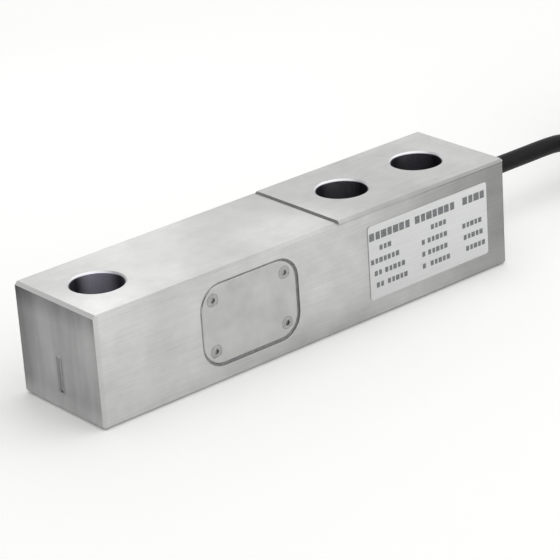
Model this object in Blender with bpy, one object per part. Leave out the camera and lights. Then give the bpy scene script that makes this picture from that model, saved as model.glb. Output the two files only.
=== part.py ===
"""Single ended shear beam load cell with sealed gauge pockets and a free cable.

Frame: X runs along the bar from the load end (-X) to the cable end (+X), Y across it, Z up.
The rating plate and the front cover are on the -Y side. The bar's underside lies on Z = 0, and
the origin is under the middle of the bar. Lengths are in metres.
"""

import math

import bmesh
import bpy
from mathutils import Matrix, Vector

# Bar
BAR_LENGTH = 0.130
BAR_WIDTH = 0.03175
BAR_HEIGHT = 0.0286
EDGE_CHAMFER = 0.0008
PAD_FROM_END = 0.0740
PAD_RISE = 0.0003
GROOVE_WIDTH = 0.0010
GROOVE_DEPTH = 0.0005

# Bolt holes, the first one measured from the load end
LOAD_HOLE_FROM_END = 0.0127
LOAD_TO_MOUNT_HOLE = 0.0762
MOUNT_HOLE_PITCH = 0.0254
MOUNT_HOLE_COUNT = 2
HOLE_DIAMETER = 0.0130
HOLE_CHAMFER = 0.0005

# Load axis mark on the load end face
MARK_LENGTH = 0.0090
MARK_WIDTH = 0.0010
MARK_DEPTH = 0.0004
MARK_HEIGHT = 0.0093

# Gauge pockets, one from each side, and the web that they leave
POCKET_FROM_END = 0.0449
POCKET_ABOVE_BASE = 0.0148
POCKET_CORNER = 0.0060
WEB_THICKNESS = 0.0045

# Covers, gaskets and cover screws
COVER_LENGTH = 0.0290
COVER_HEIGHT = 0.0201
COVER_CORNER = 0.0056
COVER_THICKNESS = 0.0010
COVER_EDGE = 0.0002
COVER_SINK = 0.0002
COVER_JOINT = 0.0006
LEDGE_ALONG = 0.0037
LEDGE_UP = 0.0028
GASKET_THICKNESS = 0.0005
GASKET_LIP = 0.0004
SCREW_DIAMETER = 0.0016
SCREW_HEAD = 0.0029
SCREW_LENGTH = 0.0050
SCREW_INSET = 0.0035
SCREW_SOCKET = 0.0013
SCREW_SOCKET_DEPTH = 0.0003
TAP_EXTRA = 0.0008

# Strain gauges on the web, at 45 degrees to the bar
GAUGE_LENGTH = 0.0062
GAUGE_WIDTH = 0.0042
GAUGE_CORNER = 0.0004
GAUGE_THICKNESS = 0.0003
GAUGE_SPACING = 0.0086
GAUGE_RISE = 0.0006
GRID_LINES = 5
GRID_LINE_LENGTH = 0.0034
GRID_LINE_WIDTH = 0.0003
GRID_LINE_PITCH = 0.0006
GRID_LINE_HEIGHT = 0.0001

# Solder terminals below the gauges: the first two for the bridge wires, the rest for the leads
TERMINAL_LENGTH = 0.0094
TERMINAL_WIDTH = 0.0020
TERMINAL_THICKNESS = 0.0008
TERMINAL_INSET = 0.00165
SOLDER_PADS = 6
SOLDER_PITCH = 0.0016
SOLDER_DIAMETER = 0.0012
SOLDER_HEIGHT = 0.0002

# Wires inside the bar
WIRE_DIAMETER = 0.0008
WIRE_SPACING = 0.0012
WIRING_BORE = 0.0036
WIRING_BORE_WALL = 0.0015
BRIDGE_BORE = 0.0026
BRIDGE_INSET = 0.00285
BRIDGE_BOW = 0.0030

# Cable, gland and strain relief, all on one axis
CABLE_DIAMETER = 0.0048
CABLE_HEIGHT = 0.0138
GLAND_BORE = 0.0078
GLAND_BORE_DEPTH = 0.0080
GLAND_HEX = 0.0120
GLAND_HEX_EDGE = 0.0005
GLAND_FLANGE = 0.0030
GLAND_SPIGOT = 0.0090
GLAND_SPIGOT_LENGTH = 0.0036
SEAL_THICKNESS = 0.0014
NUT_WALL = 0.0014
BOOT_COLLAR = 0.0010
BOOT_BASE = 0.0076
BOOT_TIP = 0.0063
BOOT_LENGTH = 0.0088
BOOT_RINGS = 3
BOOT_RING_DEPTH = 0.0002
CORE_INSIDE = 0.0050

# Rating plate on the front
PLATE_FROM_END = 0.1029
PLATE_ABOVE_BASE = 0.0148
PLATE_LENGTH = 0.0405
PLATE_HEIGHT = 0.0195
PLATE_THICKNESS = 0.0003
PLATE_CORNER = 0.0008

# Hank of spare cable, wound in columns and layers with round ends, and its ties
HANK_FROM_BOOT = 0.0500
HANK_ASIDE = 0.0155
HANK_RUN = 0.0840
HANK_FOLD = 0.0144
HANK_COLUMNS = 2
HANK_LAYERS = 6
TURN_CLEARANCE = 0.00005
TIE_THICKNESS = 0.0010
TIE_WIDTH = 0.0036
TIE_FROM_FOLD = 0.0120
TIE_HEAD = 0.0046
TIE_HEAD_HEIGHT = 0.0024

# Free end of the cable, on top of the hank
TAIL_FROM_FOLD = 0.0440
TAIL_LENGTH = 0.0240
SLEEVE_LENGTH = 0.0140
SLEEVE_WALL = 0.0004
SLEEVE_ENTRY = 0.0100
LEAD_DIAMETER = 0.0012
LEAD_CIRCLE = 0.0027
LEAD_SPREAD = 0.0018
LEAD_FALL = 0.0090
LEAD_TURN = 95

# Clearances
SEAT_GAP = 0.0003
OVERCUT = 0.0010

# Facets
HOLE_FACETS = 48
ROUND_FACETS = 24
SMALL_FACETS = 16
CORNER_FACETS = 6
CABLE_STEP = 0.0040
WIRE_STEP = 0.0030

# Points of the cable from the strain relief to the hank: along X and Y from the boot's tip, and
# height above the floor
CABLE_ROUTE = [
    (0.0003, 0.0000, CABLE_HEIGHT),
    (0.0040, 0.0000, CABLE_HEIGHT),
    (0.0080, 0.0000, CABLE_HEIGHT),
    (0.0120, 0.0000, CABLE_HEIGHT),
    (0.0160, 0.0000, CABLE_HEIGHT),
    (0.0200, 0.0000, 0.0138),
    (0.0240, 0.0001, 0.0136),
    (0.0280, 0.0003, 0.0129),
    (0.0320, 0.0007, 0.0117),
    (0.0360, 0.0012, 0.0102),
    (0.0400, 0.0018, 0.0085),
    (0.0440, 0.0024, 0.0068),
    (0.0480, 0.0029, 0.0053),
    (0.0520, 0.0034, 0.0043),
    (0.0560, 0.0037, 0.0038),
    (0.0575, 0.00375, 0.0037),
]

# Leads and shield wire, from the hank's outer side inwards, and their places in the sleeve
LEADS = {"red": 18, "green": 306, "shield": 90, "white": 234, "black": 162}

# Colours, as linear red, green and blue
LEAD_COLOURS = {
    "red": (0.42, 0.02, 0.02),
    "green": (0.02, 0.22, 0.06),
    "shield": (0.50, 0.50, 0.48),
    "white": (0.72, 0.72, 0.68),
    "black": (0.015, 0.015, 0.015),
}

# Places that follow from the sizes
LOAD_END = -BAR_LENGTH / 2
CABLE_END = BAR_LENGTH / 2
SIDE = BAR_WIDTH / 2
PAD_TOP = BAR_HEIGHT + PAD_RISE
GROOVE_X = LOAD_END + PAD_FROM_END - GROOVE_WIDTH / 2
HOLE_RADIUS = HOLE_DIAMETER / 2
LOAD_HOLE_X = LOAD_END + LOAD_HOLE_FROM_END
MOUNT_HOLE_X = LOAD_HOLE_X + LOAD_TO_MOUNT_HOLE
POCKET_X = LOAD_END + POCKET_FROM_END
WEB_DEPTH = (BAR_WIDTH - WEB_THICKNESS) / 2
POCKET_LENGTH = COVER_LENGTH - 2 * LEDGE_ALONG
POCKET_HEIGHT = COVER_HEIGHT - 2 * LEDGE_UP
BRIDGE_LEVEL = POCKET_ABOVE_BASE + POCKET_HEIGHT / 2 - BRIDGE_INSET
COVER_BACK = COVER_SINK + COVER_THICKNESS
GASKET_FRONT = COVER_BACK + SEAT_GAP
GASKET_BACK = GASKET_FRONT + GASKET_THICKNESS
LEDGE_DEPTH = GASKET_BACK + SEAT_GAP
SCREW_HOLE_RADIUS = SCREW_DIAMETER / 2 + SEAT_GAP
SCREW_CONE = (SCREW_HEAD - SCREW_DIAMETER) / 2
SOLDER_TOP = WEB_THICKNESS / 2 + SEAT_GAP + TERMINAL_THICKNESS + SOLDER_HEIGHT
TERMINAL_DROP = POCKET_HEIGHT / 2 - TERMINAL_INSET
TERMINAL_LEVEL = POCKET_ABOVE_BASE - TERMINAL_DROP
CABLE_SIDE = HOLE_RADIUS + WIRING_BORE_WALL + WIRING_BORE / 2
CABLE_BORE = CABLE_DIAMETER + 2 * SEAT_GAP
SHANK_START = OVERCUT - GLAND_BORE_DEPTH
FLANGE_END = SEAT_GAP + GLAND_FLANGE
SPIGOT_END = FLANGE_END + GLAND_SPIGOT_LENGTH
SEAL_START = SPIGOT_END + SEAT_GAP
SEAL_END = SEAL_START + SEAL_THICKNESS
BOOT_START = SEAL_END + SEAT_GAP
NUT_START = FLANGE_END + SEAT_GAP
NUT_CAVITY_END = BOOT_START + BOOT_COLLAR + SEAT_GAP
NUT_END = NUT_CAVITY_END + NUT_WALL
BOOT_END = NUT_END + BOOT_LENGTH
PITCH = CABLE_DIAMETER + TURN_CLEARANCE
HANK_INNER = HANK_FOLD - PITCH / 2
HANK_OUTER = HANK_INNER + HANK_COLUMNS * PITCH
HANK_MIDDLE = (HANK_INNER + HANK_OUTER) / 2
HANK_FLOOR = TIE_THICKNESS + SEAT_GAP
HANK_TOP = HANK_FLOOR + HANK_LAYERS * PITCH
HANK_CENTRE_X = CABLE_END + BOOT_END + HANK_FROM_BOOT + HANK_OUTER + HANK_RUN / 2
HANK_CENTRE_Y = CABLE_SIDE - HANK_ASIDE
SLEEVE_RADIUS = CABLE_BORE / 2 + SLEEVE_WALL
TAIL_HEIGHT = HANK_TOP + SEAT_GAP + SLEEVE_RADIUS
TAIL_START = HANK_RUN / 2 - TAIL_FROM_FOLD
TAIL_END = TAIL_START - TAIL_LENGTH


def clear_scene():
    for old in list(bpy.data.objects):
        bpy.data.objects.remove(old, do_unlink=True)


def material(name, colour, roughness, metallic=0.0):
    made = bpy.data.materials.new(name)
    made.use_nodes = True
    shader = made.node_tree.nodes["Principled BSDF"]
    shader.inputs["Base Color"].default_value = (*colour, 1.0)
    shader.inputs["Roughness"].default_value = roughness
    shader.inputs["Metallic"].default_value = metallic
    made.diffuse_color = (*colour, 1.0)
    return made


def place(name, data, paint, parent=None, location=(0, 0, 0), rotation=(0, 0, 0)):
    made = bpy.data.objects.new(name, data)
    bpy.context.scene.collection.objects.link(made)
    made.parent = parent
    made.location = location
    made.rotation_euler = rotation
    if paint and not data.materials:
        data.materials.append(paint)
    return made


def axis(name, location, rotation=(0, 0, 0)):
    """An empty that carries the pieces on its axis."""
    return place(name, None, None, None, location, rotation)


def cutter(data, parent=None, location=(0, 0, 0), rotation=(0, 0, 0)):
    made = place("cutter_" + data.name, data, None, parent, location, rotation)
    made.hide_render = True
    made.display_type = "WIRE"
    return made


def combine(target, tool, operation="DIFFERENCE"):
    joined = target.modifiers.new(tool.name, "BOOLEAN")
    joined.solver = "EXACT"
    joined.operation = operation
    joined.object = tool


def mesh_from(name, bm, smooth=False):
    """The mesh of the finished faces, with their normals facing out."""
    bmesh.ops.recalc_face_normals(bm, faces=bm.faces)
    mesh = bpy.data.meshes.new(name)
    bm.to_mesh(mesh)
    bm.free()
    if smooth:
        mesh.shade_smooth()
        mesh.set_sharp_from_angle(angle=math.radians(35))
    return mesh


def bevel(bm, edges, width):
    bmesh.ops.bevel(
        bm,
        geom=edges,
        offset=width,
        segments=1,
        profile=0.5,
        affect="EDGES",
        material=-1,
    )


def box(name, size, centre=(0, 0, 0), chamfer=0.0):
    bm = bmesh.new()
    bmesh.ops.create_cube(bm, size=1, matrix=Matrix.Diagonal((*size, 1)))
    bmesh.ops.translate(bm, vec=centre, verts=bm.verts)
    if chamfer:
        bevel(bm, bm.edges[:], chamfer)
    return mesh_from(name, bm)


def rounded_outline(length, height, corner):
    """Corners of a rounded rectangle about the origin, anticlockwise."""
    points = []
    for quarter, (sx, sy) in enumerate(((1, 1), (-1, 1), (-1, -1), (1, -1))):
        for step in range(CORNER_FACETS + 1):
            angle = math.pi / 2 * (quarter + step / CORNER_FACETS)
            across = sx * (length / 2 - corner) + corner * math.cos(angle)
            up = sy * (height / 2 - corner) + corner * math.sin(angle)
            points.append((across, up))
    return points


def extruded(outline, start, end):
    """The outline in X and Y, extruded along Z, as faces that can still be edited."""
    bm = bmesh.new()
    face = bm.faces.new([bm.verts.new((x, y, start)) for x, y in outline])
    swept = bmesh.ops.extrude_face_region(bm, geom=[face])
    moved = [v for v in swept["geom"] if isinstance(v, bmesh.types.BMVert)]
    bmesh.ops.translate(bm, vec=(0, 0, end - start), verts=moved)
    bmesh.ops.remove_doubles(bm, verts=bm.verts, dist=1e-7)
    return bm


def prism(name, outline, start, end, edge=0.0):
    """The extruded outline, with the rim at its end chamfered."""
    bm = extruded(outline, start, end)
    if edge:
        middle = (start + end) / 2
        rim = [e for e in bm.edges if all(v.co.z > middle for v in e.verts)]
        bevel(bm, rim, edge)
    return mesh_from(name, bm, smooth=True)


def hexagon(name, across_flats, start, end):
    """A hexagonal prism along Z with two flats facing Y and chamfered rims."""
    radius = across_flats / math.sqrt(3)
    angles = [math.pi / 3 * k for k in range(6)]
    outline = [(radius * math.cos(a), radius * math.sin(a)) for a in angles]
    bm = extruded(outline, start, end)
    rims = [e for e in bm.edges if e.verts[0].co.z == e.verts[1].co.z]
    bevel(bm, rims, GLAND_HEX_EDGE)
    return mesh_from(name, bm)


def turned(name, profile, facets):
    """The profile of (radius, height) points, turned once round Z."""
    bm = bmesh.new()
    points = [bm.verts.new((radius, 0, height)) for radius, height in profile]
    hollow = profile[0][0] > 0
    pairs = zip(points, points[1:] + points[:1] if hollow else points[1:])
    edges = [bm.edges.new(pair) for pair in pairs]
    bmesh.ops.spin(
        bm,
        geom=points + edges,
        axis=(0, 0, 1),
        cent=(0, 0, 0),
        steps=facets,
        angle=2 * math.pi,
        use_merge=True,
    )
    bmesh.ops.remove_doubles(bm, verts=bm.verts, dist=1e-7)
    return mesh_from(name, bm, smooth=True)


def plug(name, radius, start, end, facets=SMALL_FACETS):
    """A plain round cutter along Z."""
    return turned(name, [(0, start), (radius, start), (radius, end), (0, end)], facets)


def ring(name, inner, outer, start, end):
    profile = [(inner, start), (outer, start), (outer, end), (inner, end)]
    return turned(name, profile, ROUND_FACETS)


def smooth_route(points, spacing):
    """Points at about the given spacing along one smooth curve through all the points."""
    ends = [2 * Vector(points[0]) - Vector(points[1])]
    ends += [Vector(point) for point in points]
    ends += [2 * Vector(points[-1]) - Vector(points[-2])]
    route = []
    for before, a, b, after in zip(ends, ends[1:], ends[2:], ends[3:]):
        steps = max(1, round((b - a).length / spacing))
        leave, arrive = (b - before) / 2, (after - a) / 2
        for step in range(steps):
            t = step / steps
            route.append(
                a * (2 * t**3 - 3 * t**2 + 1)
                + leave * (t**3 - 2 * t**2 + t)
                + b * (3 * t**2 - 2 * t**3)
                + arrive * (t**3 - t**2)
            )
    route.append(ends[-2])
    return route


def tube(name, points, diameter, paint, parent=None, spacing=WIRE_STEP, rounding=2):
    curve = bpy.data.curves.new(name, "CURVE")
    curve.dimensions = "3D"
    curve.bevel_depth = diameter / 2
    curve.bevel_resolution = rounding
    curve.use_fill_caps = True
    route = smooth_route(points, spacing)
    line = curve.splines.new("POLY")
    line.points.add(len(route) - 1)
    for point, spot in zip(line.points, route):
        point.co = (*spot, 1)
    return place(name, curve, paint, parent)


def bar_blank():
    """The bar before its cuts, chamfered, with the pad raised beyond the groove."""
    bm = bmesh.new()
    size = (BAR_LENGTH, BAR_WIDTH, PAD_TOP)
    bmesh.ops.create_cube(bm, size=1, matrix=Matrix.Diagonal((*size, 1)))
    bmesh.ops.translate(bm, vec=(0, 0, PAD_TOP / 2), verts=bm.verts)
    bevel(bm, bm.edges[:], EDGE_CHAMFER)
    for x in (GROOVE_X - GROOVE_WIDTH / 4, GROOVE_X + GROOVE_WIDTH / 4):
        everything = bm.verts[:] + bm.edges[:] + bm.faces[:]
        bmesh.ops.bisect_plane(
            bm, geom=everything, plane_co=(x, 0, 0), plane_no=(1, 0, 0)
        )
    above = [v for v in bm.verts if v.co.z > PAD_TOP / 2]
    lower = [v for v in above if v.co.x < GROOVE_X]
    bmesh.ops.translate(bm, vec=(0, 0, -PAD_RISE), verts=lower)
    return mesh_from("spring_element", bm)


def bolt_hole(name, top):
    flare = HOLE_RADIUS + HOLE_CHAMFER + OVERCUT
    profile = [
        (0, -OVERCUT),
        (flare, -OVERCUT),
        (HOLE_RADIUS, HOLE_CHAMFER),
        (HOLE_RADIUS, top - HOLE_CHAMFER),
        (flare, top + OVERCUT),
        (0, top + OVERCUT),
    ]
    return turned(name, profile, HOLE_FACETS)


def cable_passage():
    """The threaded gland bore and the narrow wiring bore that runs on to the pocket."""
    into_pocket = CABLE_END - POCKET_X - POCKET_LENGTH / 2 + OVERCUT
    profile = [
        (0, -into_pocket),
        (WIRING_BORE / 2, -into_pocket),
        (WIRING_BORE / 2, -GLAND_BORE_DEPTH),
        (GLAND_BORE / 2, -GLAND_BORE_DEPTH),
        (GLAND_BORE / 2, -HOLE_CHAMFER),
        (GLAND_BORE / 2 + HOLE_CHAMFER + OVERCUT, OVERCUT),
        (0, OVERCUT),
    ]
    return turned("cable_passage", profile, ROUND_FACETS)


def screw_places():
    """A cover's four screws, along the bar and up from the cover's middle."""
    along, up = COVER_LENGTH / 2 - SCREW_INSET, COVER_HEIGHT / 2 - SCREW_INSET
    return [(sx * along, sy * up, 0) for sx in (-1, 1) for sy in (-1, 1)]


def solder_places():
    """Places of the solder pads along a terminal strip."""
    return [(k - (SOLDER_PADS - 1) / 2) * SOLDER_PITCH for k in range(SOLDER_PADS)]


def spring_element(paint, sides, cable_axis):
    bar = place("spring_element", bar_blank(), paint)
    groove_top = 2 * (GROOVE_DEPTH + PAD_RISE + OVERCUT)
    groove = box("groove", (GROOVE_WIDTH, BAR_WIDTH + 2 * OVERCUT, groove_top))
    floor = BAR_HEIGHT - GROOVE_DEPTH
    combine(bar, cutter(groove, None, (GROOVE_X, 0, floor + groove_top / 2)))
    combine(bar, cutter(bolt_hole("load_hole", BAR_HEIGHT), None, (LOAD_HOLE_X, 0, 0)))
    mount_hole = bolt_hole("mount_hole", PAD_TOP)
    for k in range(MOUNT_HOLE_COUNT):
        spot = (MOUNT_HOLE_X + k * MOUNT_HOLE_PITCH, 0, 0)
        combine(bar, cutter(mount_hole, None, spot))
    recess = rounded_outline(
        COVER_LENGTH + 2 * COVER_JOINT,
        COVER_HEIGHT + 2 * COVER_JOINT,
        COVER_CORNER + COVER_JOINT,
    )
    pocket = rounded_outline(POCKET_LENGTH, POCKET_HEIGHT, POCKET_CORNER)
    recess_cut = prism("recess", recess, -LEDGE_DEPTH, OVERCUT)
    pocket_cut = prism("pocket", pocket, -WEB_DEPTH, OVERCUT)
    tap_end = -COVER_SINK - SCREW_LENGTH - TAP_EXTRA
    tap = plug("tapped_hole", SCREW_HOLE_RADIUS, tap_end, 0)
    for side in sides:
        combine(bar, cutter(recess_cut, side))
        combine(bar, cutter(pocket_cut, side))
        for spot in screw_places():
            combine(bar, cutter(tap, side, spot))
    through = WEB_THICKNESS / 2 + OVERCUT
    bridge = plug("bridge_bore", BRIDGE_BORE / 2, -through, through)
    middle = (POCKET_X, 0, BRIDGE_LEVEL)
    combine(bar, cutter(bridge, None, middle, (math.pi / 2, 0, 0)))
    combine(bar, cutter(cable_passage(), cable_axis))
    mark = box("load_axis_mark", (2 * MARK_DEPTH, MARK_WIDTH, MARK_LENGTH))
    combine(bar, cutter(mark, None, (LOAD_END, 0, MARK_HEIGHT)))


def cover(name, side, paint):
    outline = rounded_outline(COVER_LENGTH, COVER_HEIGHT, COVER_CORNER)
    plate = prism(name, outline, -COVER_BACK, -COVER_SINK, COVER_EDGE)
    made = place(name, plate, paint, side)
    sink = turned(
        "countersink",
        [
            (0, -COVER_BACK - OVERCUT),
            (SCREW_HOLE_RADIUS, -COVER_BACK - OVERCUT),
            (SCREW_HOLE_RADIUS, -COVER_SINK - SCREW_CONE),
            (SCREW_HOLE_RADIUS + SCREW_CONE + OVERCUT, -COVER_SINK + OVERCUT),
            (0, -COVER_SINK + OVERCUT),
        ],
        SMALL_FACETS,
    )
    for spot in screw_places():
        combine(made, cutter(sink, side, spot))


def gasket(name, side, paint):
    outline = rounded_outline(COVER_LENGTH, COVER_HEIGHT, COVER_CORNER)
    made = place(name, prism(name, outline, -GASKET_BACK, -GASKET_FRONT), paint, side)
    opening = rounded_outline(
        POCKET_LENGTH + 2 * GASKET_LIP,
        POCKET_HEIGHT + 2 * GASKET_LIP,
        POCKET_CORNER + GASKET_LIP,
    )
    back = -GASKET_BACK - OVERCUT
    combine(made, cutter(prism("gasket_opening", opening, back, 0), side))
    hole = plug("gasket_hole", SCREW_HOLE_RADIUS, back, 0)
    for spot in screw_places():
        combine(made, cutter(hole, side, spot))


def cover_screws(label, side, paint):
    """Countersunk screws whose heads lie flush with the cover."""
    mesh = turned(
        "cover_screw",
        [
            (0, -SCREW_SOCKET_DEPTH),
            (SCREW_SOCKET / 2, -SCREW_SOCKET_DEPTH),
            (SCREW_SOCKET / 2, 0),
            (SCREW_HEAD / 2, 0),
            (SCREW_DIAMETER / 2, -SCREW_CONE),
            (SCREW_DIAMETER / 2, -SCREW_LENGTH),
            (0, -SCREW_LENGTH),
        ],
        SMALL_FACETS,
    )
    for number, (along, up, _) in enumerate(screw_places(), start=1):
        spot = (along, up, -COVER_SINK)
        place(f"cover_screw_{label}_{number}", mesh, paint, side, spot)


def strain_gauges(label, side, paint):
    """Two shear gauges on the web, tilted towards each other, with raised grid lines."""
    outline = rounded_outline(GAUGE_LENGTH, GAUGE_WIDTH, GAUGE_CORNER)
    backing = prism("strain_gauge", outline, 0, GAUGE_THICKNESS)
    size = (GRID_LINE_LENGTH, GRID_LINE_WIDTH, GAUGE_THICKNESS)
    raised = (0, 0, GAUGE_THICKNESS / 2 + GRID_LINE_HEIGHT)
    line = box("grid_line", size, raised)
    for number, turn in ((1, -1), (2, 1)):
        spot = (turn * GAUGE_SPACING / 2, GAUGE_RISE, SEAT_GAP - WEB_DEPTH)
        tilt = (0, 0, turn * math.pi / 4)
        name = f"strain_gauge_{label}_{number}"
        gauge = place(name, backing, paint, side, spot, tilt)
        for k in range(GRID_LINES):
            across = (k - (GRID_LINES - 1) / 2) * GRID_LINE_PITCH
            combine(gauge, cutter(line, gauge, (0, across, 0)), "UNION")


def terminal_strip(name, side, paint):
    """A strip on the web with a low solder dome on each of its pads."""
    base = SEAT_GAP - WEB_DEPTH
    size = (TERMINAL_LENGTH, TERMINAL_WIDTH, TERMINAL_THICKNESS)
    centre = (0, -TERMINAL_DROP, base + TERMINAL_THICKNESS / 2)
    strip = place(name, box(name, size, centre), paint, side)
    dome = turned(
        "solder_dome",
        [
            (0, TERMINAL_THICKNESS / 2),
            (SOLDER_DIAMETER / 2, TERMINAL_THICKNESS / 2),
            (SOLDER_DIAMETER / 2, TERMINAL_THICKNESS),
            (SOLDER_DIAMETER / 4, TERMINAL_THICKNESS + SOLDER_HEIGHT),
            (0, TERMINAL_THICKNESS + SOLDER_HEIGHT),
        ],
        SMALL_FACETS,
    )
    for along in solder_places():
        spot = (along, -TERMINAL_DROP, base)
        combine(strip, cutter(dome, side, spot), "UNION")


def bridge_wires(paint):
    """Two wires through the web, from the front terminals to the rear ones."""
    lift = SOLDER_TOP + SEAT_GAP
    bow = lift + BRIDGE_BOW
    halfway = (TERMINAL_LEVEL + BRIDGE_LEVEL) / 2
    for number, (step, along) in enumerate(zip((-1, 1), solder_places()), start=1):
        pad_x = POCKET_X + along
        hole_x = POCKET_X + step * WIRE_SPACING / 2
        half = [
            (pad_x, -lift, TERMINAL_LEVEL),
            (pad_x, -bow, TERMINAL_LEVEL + WIRE_DIAMETER / 2),
            ((pad_x + hole_x) / 2, -bow - WIRE_DIAMETER, halfway),
            (hole_x, -bow, BRIDGE_LEVEL),
            (hole_x, -lift, BRIDGE_LEVEL),
        ]
        back = [(x, -y, z) for x, y, z in reversed(half)]
        tube(f"bridge_wire_{number}", half + back, WIRE_DIAMETER, paint, spacing=0.001)


def signal_leads(paints):
    """Four leads from the cable through the wiring bore to the rear terminals."""
    start = CABLE_END - CORE_INSIDE - SEAT_GAP
    touch = SOLDER_TOP + SEAT_GAP
    colours = [name for name in LEADS if name != "shield"]
    corners = [(1, 1), (1, -1), (-1, 1), (-1, -1)]
    pads = solder_places()[-len(corners) :]
    for name, (out, up), along in zip(colours, corners, pads):
        y = CABLE_SIDE + out * WIRE_SPACING / 2
        z = CABLE_HEIGHT + up * WIRE_SPACING / 2
        pad_x = POCKET_X + along
        mouth = POCKET_X + POCKET_LENGTH / 2 + WIRE_DIAMETER
        bore = [(start + (mouth - start) * k / 4, y, z) for k in range(5)]
        to_pad = [
            ((mouth + pad_x) / 2, y - WIRE_DIAMETER / 4, z - WIRE_DIAMETER / 4),
            (pad_x + WIRE_DIAMETER, (y + touch) / 2, (z + TERMINAL_LEVEL) / 2),
            (pad_x, touch + WIRE_DIAMETER, TERMINAL_LEVEL + WIRE_DIAMETER / 4),
            (pad_x, touch, TERMINAL_LEVEL),
        ]
        tube(f"signal_lead_{name}", bore + to_pad, WIRE_DIAMETER, paints[name])


def gland_body(cable_axis, paint):
    """A hexagonal flange with a shank in the bar and a spigot for the nut."""
    flange = hexagon("gland_body", GLAND_HEX, SEAT_GAP, FLANGE_END)
    body = place("gland_body", flange, paint, cable_axis)
    middle = (SEAT_GAP + FLANGE_END) / 2
    shank_radius = GLAND_BORE / 2 - SEAT_GAP
    stem = turned(
        "gland_stem",
        [
            (0, SHANK_START),
            (shank_radius, SHANK_START),
            (shank_radius, middle),
            (GLAND_SPIGOT / 2, middle),
            (GLAND_SPIGOT / 2, SPIGOT_END),
            (0, SPIGOT_END),
        ],
        ROUND_FACETS,
    )
    combine(body, cutter(stem, cable_axis), "UNION")
    first, last = SHANK_START - OVERCUT, SPIGOT_END + OVERCUT
    bore = plug("gland_through", CABLE_BORE / 2, first, last, ROUND_FACETS)
    combine(body, cutter(bore, cable_axis))


def gland_nut(cable_axis, paint):
    """The hexagonal nut, whose end wall holds the boot's collar."""
    blank = hexagon("gland_nut", GLAND_HEX, NUT_START, NUT_END)
    nut = place("gland_nut", blank, paint, cable_axis)
    cavity, mouth = GLAND_SPIGOT / 2 + SEAT_GAP, BOOT_BASE / 2 + SEAT_GAP
    inside = turned(
        "nut_cavity",
        [
            (0, NUT_START - OVERCUT),
            (cavity, NUT_START - OVERCUT),
            (cavity, NUT_CAVITY_END),
            (mouth, NUT_CAVITY_END),
            (mouth, NUT_END + OVERCUT),
            (0, NUT_END + OVERCUT),
        ],
        ROUND_FACETS,
    )
    combine(nut, cutter(inside, cable_axis))


def strain_relief_boot(cable_axis, paint):
    """The tapered boot, with a collar inside the nut and shallow rings outside."""
    inner = CABLE_BORE / 2
    collar_end = BOOT_START + BOOT_COLLAR
    profile = [
        (inner, BOOT_START),
        (GLAND_SPIGOT / 2, BOOT_START),
        (GLAND_SPIGOT / 2, collar_end),
        (BOOT_BASE / 2, collar_end),
        (BOOT_BASE / 2, NUT_END),
    ]
    bands = 2 * BOOT_RINGS + 1
    for k in range(1, bands):
        height = NUT_END + BOOT_LENGTH * k / bands
        radius = (BOOT_BASE + (BOOT_TIP - BOOT_BASE) * k / bands) / 2
        pair = [(radius, height), (radius - BOOT_RING_DEPTH, height)]
        profile += pair if k % 2 else pair[::-1]
    profile += [(BOOT_TIP / 2, BOOT_END), (inner, BOOT_END)]
    mesh = turned("strain_relief_boot", profile, ROUND_FACETS)
    place("strain_relief_boot", mesh, paint, cable_axis)


def cable_in_gland(cable_axis, seal_paint, paint):
    """The seal round the cable, and the cable up to where its leads come out."""
    seal = ring("gland_seal", CABLE_BORE / 2, GLAND_SPIGOT / 2, SEAL_START, SEAL_END)
    place("gland_seal", seal, seal_paint, cable_axis)
    radius = CABLE_DIAMETER / 2
    core = plug("cable_core", radius, -CORE_INSIDE, BOOT_END, ROUND_FACETS)
    place("cable_core", core, paint, cable_axis)


def rating_plate(paint):
    outline = rounded_outline(PLATE_LENGTH, PLATE_HEIGHT, PLATE_CORNER)
    plate = prism("rating_plate", outline, SEAT_GAP, SEAT_GAP + PLATE_THICKNESS)
    spot = (LOAD_END + PLATE_FROM_END, -SIDE, PLATE_ABOVE_BASE)
    place("rating_plate", plate, paint, None, spot, (math.pi / 2, 0, 0))


def cable_tube(name, points, paint, parent=None):
    tube(name, points, CABLE_DIAMETER, paint, parent, CABLE_STEP, 4)


def cable_run(paint):
    exit_point = Vector((CABLE_END + BOOT_END, CABLE_SIDE, 0))
    cable_tube("cable", [exit_point + Vector(point) for point in CABLE_ROUTE], paint)


def hank(hank_axis, paint):
    """The outer shape of the wound turns, with straight sides round a hollow middle."""
    outer = rounded_outline(HANK_RUN + 2 * HANK_OUTER, 2 * HANK_OUTER, HANK_OUTER)
    inner = rounded_outline(HANK_RUN + 2 * HANK_INNER, 2 * HANK_INNER, HANK_INNER)
    body = prism("cable_hank", outer, HANK_FLOOR, HANK_TOP)
    made = place("cable_hank", body, paint, hank_axis)
    hollow = prism("hank_hollow", inner, HANK_FLOOR - OVERCUT, HANK_TOP + OVERCUT)
    combine(made, cutter(hollow, hank_axis))


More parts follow.
